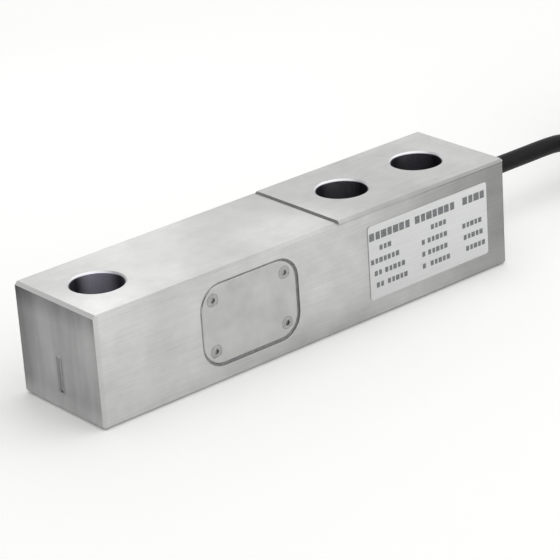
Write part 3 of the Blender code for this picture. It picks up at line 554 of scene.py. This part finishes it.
# Painted light in the groove.
sawn_groove_painted_light = {**rgba, 7: linear("#c9c9c8")}
steel = add(tree, "Mix", sawn_groove_painted_light, {0: on["sawn groove"], 6: tone})
rough = add(tree, "MapRange", {"To Min": 0.36, "To Max": 0.42}, {"Value": lines})
for surface, more in (("end face", 0.08), ("filed edge", 0.12), ("sawn groove", 0.25)):
    rough = add(tree, "Math", {**multiply_add, 1: more}, {0: on[surface], 2: rough})
bump = add(tree, "Bump", {"Strength": 0.4, "Distance": 0.000008}, {"Height": lines})
look = {"Base Color": steel.outputs[2], "Metallic": metal, "Roughness": rough, "Normal": bump}
wire(tree, shader, look)
coat(nickel, "spring_element")
print("material:", nickel.name, "with", len(tree.nodes), "nodes")

# %% [markdown]
# ## Cover plates
# The two covers are punched from 1 mm steel sheet and plated in the same bath. Punched sheet keeps
# its rolled skin, so it is smoother and a shade darker than the ground bar, with fine lines that
# run up and down, across those of the bar. That change of direction is most of what lets the eye
# tell the cover from the bar, since both are the same metal.
#
# This finish, and most that come after it, need two tones, a range of gloss and a fine relief.
# `dress` joins them, and each of the three follows a pattern that is made first.

# %% Cover plate finish
def dress(tree, shader, tones, toned_by, gloss, gloss_by, relief, depth, strength=0.5):
    """Gives a shader its tones, its gloss and its relief, each after a pattern."""
    shades = {**rgba, 6: linear(tones[0]), 7: linear(tones[1])}
    tone = add(tree, "Mix", shades, {0: toned_by}).outputs[2]
    satin = add(tree, "MapRange", {"To Min": gloss[0], "To Max": gloss[1]}, {"Value": gloss_by})
    bump = add(tree, "Bump", {"Strength": strength, "Distance": depth}, {"Height": relief})
    wire(tree, shader, {"Base Color": tone, "Roughness": satin, "Normal": bump})


# To the eye: the same silver, smoother, with an upright grain and a faint haze.
sheet_steel, tree, shader, place = new_material("nickel_plated_sheet", "#bcbcbb", 0.34, 1.0)
# Haze of the plating, about 6 mm across.
haze = add(tree, "TexNoise", {"Scale": 170, "Detail": 4}, {"Vector": place})
# Rolling lines, about 0.25 mm apart and 7 mm long.
rolled = streaks(tree, place, (4000, 4000, 150), 2)
dress(tree, shader, ("#a5a5a5", "#d0d0cf"), haze, (0.29, 0.42), rolled, rolled, 0.00001, 0.4)
coat(sheet_steel, "front_cover", "rear_cover")
print("material:", sheet_steel.name, "on both covers")

# %% [markdown]
# ## How the small pieces are made
# The pockets are alike on both sides of the bar, so a piece is drawn once, lying flat round the
# origin, and a matrix stands it up on the front or on the rear. Flat pieces start as one rounded
# face. An inset cuts a rim off it, and an extrusion gives it its thickness, much as a maker would
# cut a gasket from sheet. `finished` lays the mesh in its place, cleans it up, smooths it and hands
# it to the model.

# %% Helpers for pieces on the two sides of the bar
half_width = 0.015875
pocket_x, pocket_z = -0.0201, 0.0148


def turned(degrees, axis):
    """A turn round one of the three axes."""
    return Matrix.Rotation(math.radians(degrees), 4, axis)


upright = turned(90, "X")
sides = {
    "front": Matrix.Translation((pocket_x, -half_width, pocket_z)) @ upright,
    "rear": Matrix.Translation((pocket_x, half_width, pocket_z)) @ turned(180, "Z") @ upright,
}


def rounded_sheet(bm, length, height, corner, level=0.0, spot=(0, 0)):
    """A flat rounded rectangle in X and Y, as one face."""
    made = bmesh.ops.create_grid(bm, x_segments=1, y_segments=1, size=0.5)["verts"]
    bmesh.ops.scale(bm, vec=(length, height, 1), verts=made)
    bmesh.ops.translate(bm, vec=(*spot, level), verts=made)
    if corner:
        round_off = {"segments": 8, "profile": 0.5, "affect": "VERTICES", "material": -1}
        made = bmesh.ops.bevel(bm, geom=made, offset=corner, **round_off)["verts"]
    return made[0].link_faces[0]


def inset(bm, face, width):
    """Cuts a rim of a width off a face all round, and gives the rim's faces."""
    return bmesh.ops.inset_region(bm, faces=[face], thickness=width, use_boundary=True)["faces"]


def raised(bm, faces, depth):
    """Gives flat faces a thickness along Z."""
    swept = bmesh.ops.extrude_face_region(bm, geom=faces)["geom"]
    top = [v for v in swept if isinstance(v, bmesh.types.BMVert)]
    bmesh.ops.translate(bm, vec=(0, 0, depth), verts=top)


def soften(bm, edges, width):
    """Rounds edges by a width, as a mould or a cutter leaves them."""
    bmesh.ops.bevel(bm, geom=edges, offset=width, segments=2, profile=0.5, affect="EDGES", material=-1)


def finished(name, bm, surface, spot, smooth=True):
    """The mesh, put in its spot by a matrix, as a piece of the model that rides on the bar."""
    bmesh.ops.transform(bm, matrix=spot, verts=bm.verts)
    bmesh.ops.remove_doubles(bm, verts=bm.verts, dist=1e-7)
    bmesh.ops.recalc_face_normals(bm, faces=bm.faces)
    mesh = bpy.data.meshes.new(name)
    bm.to_mesh(mesh)
    bm.free()
    if smooth:
        mesh.shade_smooth()
        mesh.set_sharp_from_angle(angle=math.radians(35))
    mesh.materials.append(surface)
    made = put(name, mesh)
    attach(made, "root")
    print(name, "faces:", len(mesh.polygons))
    return made


# %% [markdown]
# ## A finish for plain materials
# Rubber, plastics, silicone and small drawn or rolled metal have no pattern of their own. What
# keeps them from looking like computer plastic is that nothing on them is quite even: colour and
# gloss come and go together in soft patches, and a finer grain breaks up the highlights. One
# function makes this finish, and each material gives it its own colours and its own sizes.

# %% Plain finish
def plain_finish(name, colours, gloss, patch, grain, depth, metallic=0.0):
    """Patches of two tones with the gloss of each, and a grain of a depth. Sizes are in metres."""
    made, tree, shader, place = new_material(name, colours[0], gloss[0], metallic)
    clouds = add(tree, "TexNoise", {"Scale": 1 / patch, "Detail": 3}, {"Vector": place})
    share = add(tree, "MapRange", {"From Min": 0.3, "From Max": 0.7}, {"Value": clouds})
    fine = add(tree, "TexNoise", {"Scale": 1 / grain, "Detail": 3}, {"Vector": place})
    dress(tree, shader, colours, share, gloss, share, fine, depth)
    print("material:", name)
    return made


# %% [markdown]
# ## Sealant
# Each cover lies in a bead of silicone that fills the joint round it, so that no water reaches the
# gauges. From outside it is a mid grey line, a little sunken where the fitter's finger wiped it.
# It is a ring of two insets with the loop between them lowered, as deep as the joint.

# %% Sealant in the joint
# To the eye: a dull mid grey seam, smeared by the wiping in streaks of a millimetre.
sealant = plain_finish("grey_silicone_sealant", ("#757677", "#9a9b9c"), (0.50, 0.62), 0.0011, 0.0004, 0.00006)
cover_length, cover_height, cover_corner, joint = 0.029, 0.0201, 0.0056, 0.0006
play = 0.00002
margin = joint - play
bead_face, bead_dip, bead_depth = -0.00034, 0.00008, 0.0009
bead_size = (cover_length + 2 * margin, cover_height + 2 * margin, cover_corner + margin)
for label, side in sides.items():
    bm = bmesh.new()
    outer = rounded_sheet(bm, *bead_size, level=bead_face)
    first = inset(bm, outer, joint / 2 - play)
    second = inset(bm, outer, joint / 2 - play)
    dip = {v for f in first for v in f.verts} & {v for f in second for v in f.verts}
    bmesh.ops.delete(bm, geom=[outer], context="FACES_ONLY")
    bmesh.ops.translate(bm, vec=(0, 0, -bead_dip), verts=list(dip))
    raised(bm, bm.faces[:], -bead_depth)
    finished(f"{label}_joint_sealant", bm, sealant, side)

# %% [markdown]
# ## Cover screws
# Each cover is held by four small countersunk screws with a hexagon socket. A screw is round, so
# most of it is rims that grow out of one another: the head's cone, the shank, and the thread as
# rings, because a thread of 0.35 mm pitch is too fine for its helix to show. Only the socket has
# corners, and its edge is joined to the round head by bridging the two rims.

# %% Screws
# To the eye: small bright dots, greyer than the plating round them.
screw_steel = plain_finish(
    "zinc_plated_screw_steel", ("#979797", "#b6b6b5"), (0.32, 0.42), 0.0005, 0.0003, 0.00001, 1.0
)


def next_rim(bm, rim, radius, level):
    """Grows a ring of faces from a round rim to a new radius and level, and gives the new rim."""
    old = rim[0].verts[0].co
    grown = bmesh.ops.extrude_edge_only(bm, edges=rim)["geom"]
    verts = [v for v in grown if isinstance(v, bmesh.types.BMVert)]
    size = radius / math.hypot(old.x, old.y)
    bmesh.ops.scale(bm, vec=(size, size, 1), verts=verts)
    bmesh.ops.translate(bm, vec=(0, 0, level - old.z), verts=verts)
    return [e for e in grown if isinstance(e, bmesh.types.BMEdge)]


socket_radius, socket_depth, head_radius = 0.00075, 0.00045, 0.00150
head_and_neck = [(0.00160, -0.00003), (0.00164, -0.00010), (0.00084, -0.00088), (0.00080, -0.00110)]
thread_root, thread_crest, thread_pitch, thread_rings = 0.00064, 0.00080, 0.00035, 11
screw_tip = (0.00060, -0.00500)


def cover_screw():
    """A screw along -Z with the face of its head on the origin."""
    bm = bmesh.new()
    bmesh.ops.create_circle(bm, segments=6, radius=socket_radius)
    bmesh.ops.subdivide_edges(bm, edges=bm.edges[:], cuts=3)
    edge = bm.edges[:]
    sunk = bmesh.ops.extrude_edge_only(bm, edges=edge)["geom"]
    floor_rim = [e for e in sunk if isinstance(e, bmesh.types.BMEdge)]
    deep = [v for v in sunk if isinstance(v, bmesh.types.BMVert)]
    bmesh.ops.translate(bm, vec=(0, 0, -socket_depth), verts=deep)
    bmesh.ops.contextual_create(bm, geom=floor_rim)
    circle = bmesh.ops.create_circle(bm, segments=24, radius=head_radius)["verts"]
    rim = [e for e in bm.edges if all(v in circle for v in e.verts)]
    bmesh.ops.bridge_loops(bm, edges=edge + rim)
    for radius_at, level in head_and_neck:
        rim = next_rim(bm, rim, radius_at, level)
    for k in range(thread_rings):
        rim = next_rim(bm, rim, thread_root, -0.00115 - thread_pitch * k)
        rim = next_rim(bm, rim, thread_crest, -0.00132 - thread_pitch * k)
    rim = next_rim(bm, rim, *screw_tip)
    bmesh.ops.contextual_create(bm, geom=rim)
    return bm


# The heads lie as deep as the covers do, and no two screws of a cover stop at the same angle.
screw_along, screw_rise, head_level = 0.011, 0.00655, -0.0002
for label, side in sides.items():
    spots = [(sx * screw_along, sy * screw_rise) for sx in (-1, 1) for sy in (-1, 1)]
    for number, (along, rise) in enumerate(spots, start=1):
        spot = side @ Matrix.Translation((along, rise, head_level)) @ turned(17 + 23 * number, "Z")
        bm = cover_screw()
        screw = finished(f"cover_screw_{label}_{number}_threaded", bm, screw_steel, spot)
        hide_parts(f"cover_screw_{label}_{number}")

# %% [markdown]
# ## Rating plate
# The plate is a thin aluminium foil, anodised nearly white and glued to the bar. It is one rounded
# face raised by less than 0.2 mm, and its upper edge is broken by a bevel, so that it catches a
# thin line of light as a real foil does. Anodising is a glassy layer over the metal, so only a
# part of the look is metallic.

# %% Plate
# To the eye: nearly white, brushed along, and duller than the bar it sits on.
foil, tree, shader, place = new_material("anodised_aluminium_foil", "#d8d9d9", 0.42, 0.3)
# Brushing lines, about 0.2 mm apart and 7 mm long.
brushed = streaks(tree, place, (150, 150, 6000), 2)
# Specks of under a millimetre, where fingers have touched it.
speck = add(tree, "TexNoise", {"Scale": 1600, "Detail": 4}, {"Vector": place})
dress(tree, shader, ("#cbcccc", "#e4e5e4"), brushed, (0.36, 0.50), speck, brushed, 0.000008, 0.4)

plate_x, plate_z = 0.0379, 0.0148
plate_length, plate_height, plate_corner = 0.0405, 0.0195, 0.0008
glue, foil_thickness, foil_bevel = 0.00002, 0.00016, 0.00005
on_plate = Matrix.Translation((plate_x, -half_width, plate_z)) @ upright
bm = bmesh.new()
face = rounded_sheet(bm, plate_length, plate_height, plate_corner, level=glue)
raised(bm, [face], foil_thickness)
top = [e for e in bm.edges if all(v.co.z > foil_thickness / 2 for v in e.verts)]
soften(bm, top, foil_bevel)
plate = finished("rating_plate_foil", bm, foil, on_plate)
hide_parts("rating_plate")

# %% [markdown]
# ## Print
# Such plates carry a bold line on top and rows of small print below. Here the print is left
# generic: plain blocks in that layout, which say nothing. The blocks are real shapes a few
# hundredths of a millimetre high, so they keep their crisp edges in any view.

# %% Print
# To the eye: dark grey, a little thin in places, as screen printed ink is.
ink = plain_finish("screen_printed_ink", ("#5e5f61", "#8a8b8d"), (0.55, 0.65), 0.0004, 0.0002, 0.000004)
# Words as left edge, number of blocks: the header first, then the four rows below it.
header = [(-0.0199, 7), (-0.0046, 7), (0.0118, 4)]
rows = [
    [(-0.0167, 3), (0.0007, 4)],
    [(-0.0197, 4), (-0.0142, 3), (-0.0026, 1), (-0.0006, 5), (0.0115, 5)],
    [(-0.0187, 2), (-0.0152, 5), (-0.0026, 1), (-0.0006, 5), (0.0118, 5)],
    [(-0.0182, 2), (-0.0145, 5), (-0.0026, 1), (0.0001, 5), (0.0125, 5)],
]
header_level, first_row_level, row_step = 0.0068, 0.0034, 0.0032
bold, small = (0.0016, 0.0020), (0.0010, 0.0013)
letter_gap = 0.0004
letter_widths = (1.0, 0.85, 1.15, 0.9, 1.1)
print_face, print_depth = glue + foil_thickness, 0.00003
words = [(left, header_level, count, *bold) for left, count in header]
for k, row in enumerate(rows):
    words += [(left, first_row_level - row_step * k, count, *small) for left, count in row]
bm = bmesh.new()
# A word is a row of blocks, some wider and some narrower, as letters are.
for left, level, count, width, height in words:
    for k in range(count):
        wide = width * letter_widths[k % len(letter_widths)]
        spot = (left + width / 2 + k * (width + letter_gap), level)
        face = rounded_sheet(bm, wide, height, 0, level=print_face, spot=spot)
        raised(bm, [face], print_depth)
finished("rating_plate_print", bm, ink, on_plate, smooth=False)
print("printed words:", len(words))

# %% [markdown]
# ## Gauges, terminals and wires in the pockets
# Under the covers lie the strain gauges. A gauge is a meander of thin metal foil on an amber
# plastic film, and the terminals are solder domes on green glass epoxy. The CAD solids already
# have the raised foil lines and domes, so height above the web picks the colour.

# %% Inside the pockets
def two_layers(name, base, top, level, gloss, metallic):
    """One look up to a distance from the bar's middle plane, and a metal look above it."""
    made, tree, shader, place = new_material(name, base[0], gloss)
    split = add(tree, "SeparateXYZ", links={"Vector": place})
    height = add(tree, "Math", {"operation": "ABSOLUTE"}, {0: split.outputs["Y"]})
    upper = add(tree, "Math", {"operation": "GREATER_THAN", 1: level}, {0: height})
    # Weave or grain of about half a millimetre.
    grain = add(tree, "TexNoise", {"Scale": 2200, "Detail": 3}, {"Vector": place})
    tones = {**rgba, 6: linear(base[0]), 7: linear(base[1])}
    below = add(tree, "Mix", tones, {0: grain})
    both = add(tree, "Mix", {**rgba, 7: linear(top)}, {0: upper, 6: below.outputs[2]})
    metal = add(tree, "Math", {"operation": "MULTIPLY", 1: metallic}, {0: upper})
    bump = add(tree, "Bump", {"Strength": 0.5, "Distance": 0.00001}, {"Height": grain})
    wire(tree, shader, {"Base Color": both.outputs[2], "Metallic": metal, "Normal": bump})
    print("material:", name)
    return made


# To the eye: clear amber film with pale metal lines on it.
gauge_film = two_layers("polyimide_film_with_foil", ("#8f5219", "#c07a30"), "#c9b69a", 0.00287, 0.35, 0.8)
# To the eye: cloudy green board with bright domes.
glass_epoxy = two_layers("glass_epoxy_with_solder", ("#27633b", "#418c5a"), "#c4c5c6", 0.00336, 0.4, 0.9)
for label in sides:
    coat(gauge_film, f"strain_gauge_{label}_1", f"strain_gauge_{label}_2")
    coat(glass_epoxy, f"terminal_strip_{label}")

# To the eye: warm brown red, with the gloss of lacquer.
copper = plain_finish(
    "enamelled_copper_wire", ("#8f4522", "#b96a3c"), (0.26, 0.36), 0.0006, 0.0003, 0.000005, 0.9
)
coat(copper, "bridge_wire_1", "bridge_wire_2")

# %% [markdown]
# ## Gland
# The gland is turned from hexagonal brass bar and nickel plated. The tool leaves rings round its
# axis, so the pattern must be round too: it is made from just two numbers, the place along the
# cable's axis and the distance from it. A face that the lathe never touched, such as a flat of
# the hexagon, gets stripes from the same pattern, which is how drawn bar looks.

# %% Gland finish
# To the eye: silver with a drop of yellow in it, glossier than the bar, ringed by the tool.
brass, tree, shader, place = new_material("nickel_plated_brass", "#c4c2bb", 0.26, 1.0)
centred = add(tree, "Mapping", {"Location": (0, -0.0098, -0.0138)}, {"Vector": place})
x_at, y_at, z_at = add(tree, "SeparateXYZ", links={"Vector": centred}).outputs
across = add(tree, "CombineXYZ", links={"Y": y_at, "Z": z_at})
from_axis = add(tree, "VectorMath", {"operation": "LENGTH"}, {0: across}).outputs["Value"]
tool = add(tree, "CombineXYZ", links={"X": x_at, "Y": from_axis})
# Turning rings about 0.15 mm apart.
rings = add(tree, "TexNoise", {"Scale": 6500, "Detail": 2}, {"Vector": tool})
dress(tree, shader, ("#a19f98", "#dfddd7"), rings, (0.18, 0.36), rings, rings, 0.00001)
print("material:", brass.name, "with", len(tree.nodes), "nodes")
coat(brass, "gland_body", "gland_nut")

# %% [markdown]
# ## Rubber parts
# The gaskets, the gland's seal and the strain relief boot are moulded in black rubber. Rubber is
# the dullest thing on the object, and with age a grey bloom comes out of it in patches. A thin
# washer of the same rubber seals the gland's flange on the bar. It is turned here: a circle grows
# by rims out to its edge, up and back to the bore, and closes on itself.

# %% Rubber parts
# To the eye: dull black with a greyish bloom in patches of 2 mm, and a fine moulded grain.
rubber = plain_finish("moulded_black_rubber", ("#1c1c1d", "#2b2b2c"), (0.56, 0.68), 0.0020, 0.0003, 0.00003)
coat(rubber, "front_gasket", "rear_gasket", "gland_seal", "strain_relief_boot")

on_cable_axis = Matrix.Translation((0.065, 0.0098, 0.0138)) @ turned(90, "Y")
# The washer's section from the bore outwards and back, as radius and level.
section = [(0.0045, 0.00003), (0.0054, 0.00003), (0.0055, 0.00015), (0.0054, 0.00027)]
section += [(0.0045, 0.00027), (0.0045, 0.00003)]
bm = bmesh.new()
circle = bmesh.ops.create_circle(bm, segments=48, radius=section[0][0])["verts"]
rim = bm.edges[:]
bmesh.ops.translate(bm, vec=(0, 0, section[0][1]), verts=circle)
for radius_at, level in section[1:]:
    rim = next_rim(bm, rim, radius_at, level)
finished("gland_washer", bm, rubber, on_cable_axis)

# %% [markdown]
# ## Cable jacket
# The jacket is extruded PVC, black with a satin skin. Extrusion leaves an orange peel of about
# half a millimetre, and handling leaves dull patches, so the gloss varies while the colour hardly
# does. The specular level is lowered well below that of a hard plastic, because the plasticiser
# sweats out as a thin film that mirrors less, and a cable that shines too much looks wet.

# %% Cable jacket
# To the eye: deep black with a soft sheen that is duller where hands have been.
jacket = plain_finish("extruded_pvc_jacket", ("#0b0b0d", "#151517"), (0.38, 0.48), 0.0038, 0.0006, 0.00005)
jacket.node_tree.nodes["Principled BSDF"].inputs["Specular IOR Level"].default_value = 0.16
cable_mesh.materials.append(jacket)

# %% [markdown]
# ## Ties
# Two nylon ties hold the hank. A tie is a band that goes back through its own head and is cut off
# just above it. The band starts as one rounded face as large as the bundle, an inset gives it its
# thickness, and its long edges are rounded as moulding leaves them.

# %% Nylon ties
# To the eye: a shade lighter than the cable, and frosted by the mould.
nylon = plain_finish("black_nylon", ("#1e1e20", "#2d2d30"), (0.40, 0.50), 0.0008, 0.0004, 0.00002)


def block(bm, size, centre, rounding):
    """Six faces of a size round a centre, with rounded edges."""
    made = bmesh.ops.create_cube(bm, size=1, matrix=Matrix.Diagonal((*size, 1)))["verts"]
    bmesh.ops.translate(bm, vec=centre, verts=made)
    soften(bm, list({e for v in made for e in v.link_edges}), rounding)


tie_width, tie_wall = 0.0036, 0.0010
band_width, band_height, band_corner = 0.0123, 0.0317, 0.0031
head_size, stub_size = (0.0046, 0.0046, 0.0024), (0.0026, 0.0011, 0.0018)
head_rise, stub_rise, stub_shift = 0.0007, 0.0016, 0.0002
band_round, head_round, stub_round = 0.0002, 0.0004, 0.0001
slot_rim, slot_depth = 0.0005, 0.0004
band_middle, from_fold, sharp = 0.01585, 0.012, 1.2
for number, side in ((1, -1), (2, 1)):
    bm = bmesh.new()
    face = rounded_sheet(bm, band_width, band_height, band_corner, level=-tie_width / 2)
    inset(bm, face, tie_wall)
    bmesh.ops.delete(bm, geom=[face], context="FACES_ONLY")
    raised(bm, bm.faces[:], tie_width)
    bmesh.ops.recalc_face_normals(bm, faces=bm.faces)
    rims = [e for e in bm.edges if e.is_manifold and e.calc_face_angle() > sharp]
    soften(bm, rims, band_round)
    bmesh.ops.transform(bm, matrix=turned(90, "Z") @ upright, verts=bm.verts)
    block(bm, head_size, (0, 0, band_height / 2 + head_rise), head_round)
    lid = max(bm.faces, key=lambda f: f.calc_center_median().z)
    inset(bm, lid, slot_rim)
    bmesh.ops.translate(bm, vec=(0, 0, -slot_depth), verts=lid.verts)
    block(bm, stub_size, (0, stub_shift, band_height / 2 + stub_rise), stub_round)
    middle = hank_centre + Vector((hank_run / 2 - from_fold, side * hank_middle, band_middle))
    tie = finished(f"nylon_tie_{number}", bm, nylon, Matrix.Translation(middle))
    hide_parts(f"cable_tie_{number}")

# %% [markdown]
# ## Shrink sleeve
# The cable's end carries a heat shrink sleeve, out of which come four insulated leads and the bare
# shield wire. The sleeve is turned: it lies tight on the jacket, then necks down to the leads.
# Its radius wanders by a few hundredths of a millimetre, since the heat never shrinks it evenly.

# %% Shrink sleeve
# To the eye: black and glossier than the jacket, with the ripple that the hot air left.
shrink = plain_finish("heat_shrink_polyolefin", ("#18181a", "#26262a"), (0.30, 0.38), 0.0014, 0.0012, 0.00008)

outside = [(0.00248, 0), (0.00285, 0.0001), (0.00292, 0.0004), (0.00290, 0.0030)]
outside += [(0.00293, 0.0060), (0.00288, 0.0096), (0.00272, 0.0108), (0.00250, 0.0120)]
outside += [(0.00242, 0.0130), (0.00240, 0.0138), (0.00232, 0.0140)]
inside = [(0.00210, 0.0140), (0.00208, 0.0118), (0.00246, 0.0104), (0.00248, 0)]
bm = bmesh.new()
bmesh.ops.create_circle(bm, segments=40, radius=outside[0][0])
rim = bm.edges[:]
for radius_at, level in outside[1:] + inside:
    rim = next_rim(bm, rim, radius_at, level)
on_tail = Matrix.Translation(hank_centre + Vector((-0.016, -hank_middle, tail_height)))
sleeve = finished("shrink_sleeve", bm, shrink, on_tail @ turned(-90, "Y"))
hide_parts("cable_sleeve")

# %% [markdown]
# ## Lead insulation
# The four leads of the bridge are told apart by the colour of their insulation: red, green, white
# and black. The same colours run inside the bar, from the terminals to the gland. Thin coloured
# PVC is soft and slightly glossy, and its pigment is never mixed quite evenly.

# %% Lead insulation
insulation = {
    "red": ("#a3262a", "#b5353a"),
    "green": ("#1f6b3a", "#2c7d49"),
    "white": ("#cfcfca", "#dededb"),
    "black": ("#1a1a1b", "#29292b"),
}
# To the eye: clear but not loud colours, with faint swirls of a millimetre.
for colour, tones in insulation.items():
    pvc = plain_finish(f"{colour}_pvc_insulation", tones, (0.38, 0.46), 0.0011, 0.0005, 0.00002)
    coat(pvc, f"signal_lead_{colour}", f"flying_lead_{colour}")

# %% [markdown]
# ## Tinned tips
# Each lead's end is stripped and tinned for the terminals of an amplifier. The tip is a small
# disc, spun on along the same arc that the lead follows round the hank's fold, so that the two
# run on without a kink. The shield wire is bare along its whole length and has the same tin.

# %% Tinned tips
# To the eye: warm silver with the lay of the strands showing through the tin.
tinned = plain_finish(
    "tinned_copper_strand", ("#a3a29e", "#cfceca"), (0.26, 0.38), 0.0006, 0.00025, 0.00005, 1.0
)
coat(tinned, "shield_drain")

# The leads are 1.2 mm thick, lie 0.3 mm above the hank, and are 1.8 mm apart.
lead_radius, lead_gap, lane_step = 0.0006, 0.0003, 0.0018
tip_radius, tip_length, cut_angle = 0.00036, 0.0045, -95
fold = hank_centre + Vector((-hank_run / 2, 0, hank_top + lead_gap + lead_radius))
# The shield wire lies in the middle lane, between the green lead and the white one.
for colour, lanes_out in (("red", 2), ("green", 1), ("white", -1), ("black", -2)):
    lane = hank_middle + lanes_out * lane_step
    bm = bmesh.new()
    bmesh.ops.create_circle(bm, segments=12, radius=tip_radius, cap_ends=True)
    start = turned(cut_angle, "Z") @ Matrix.Translation((0, -lane, 0))
    bmesh.ops.transform(bm, matrix=start @ turned(90, "Y"), verts=bm.verts)
    round_fold = {"axis": (0, 0, 1), "cent": (0, 0, 0), "angle": -tip_length / lane, "steps": 6}
    bmesh.ops.spin(bm, geom=bm.faces[:], **round_fold)
    finished(f"stripped_tip_{colour}", bm, tinned, Matrix.Translation(fold))

# %% [markdown]
# ## Pieces on the cable
# A list names the pieces that sit on the cable: the gland, its seal, the boot, the shield wire and
# the four flying leads.

on_cable = ["gland_body", "gland_nut", "gland_seal", "strain_relief_boot", "shield_drain"]
on_cable += [f"flying_lead_{colour}" for colour in insulation]
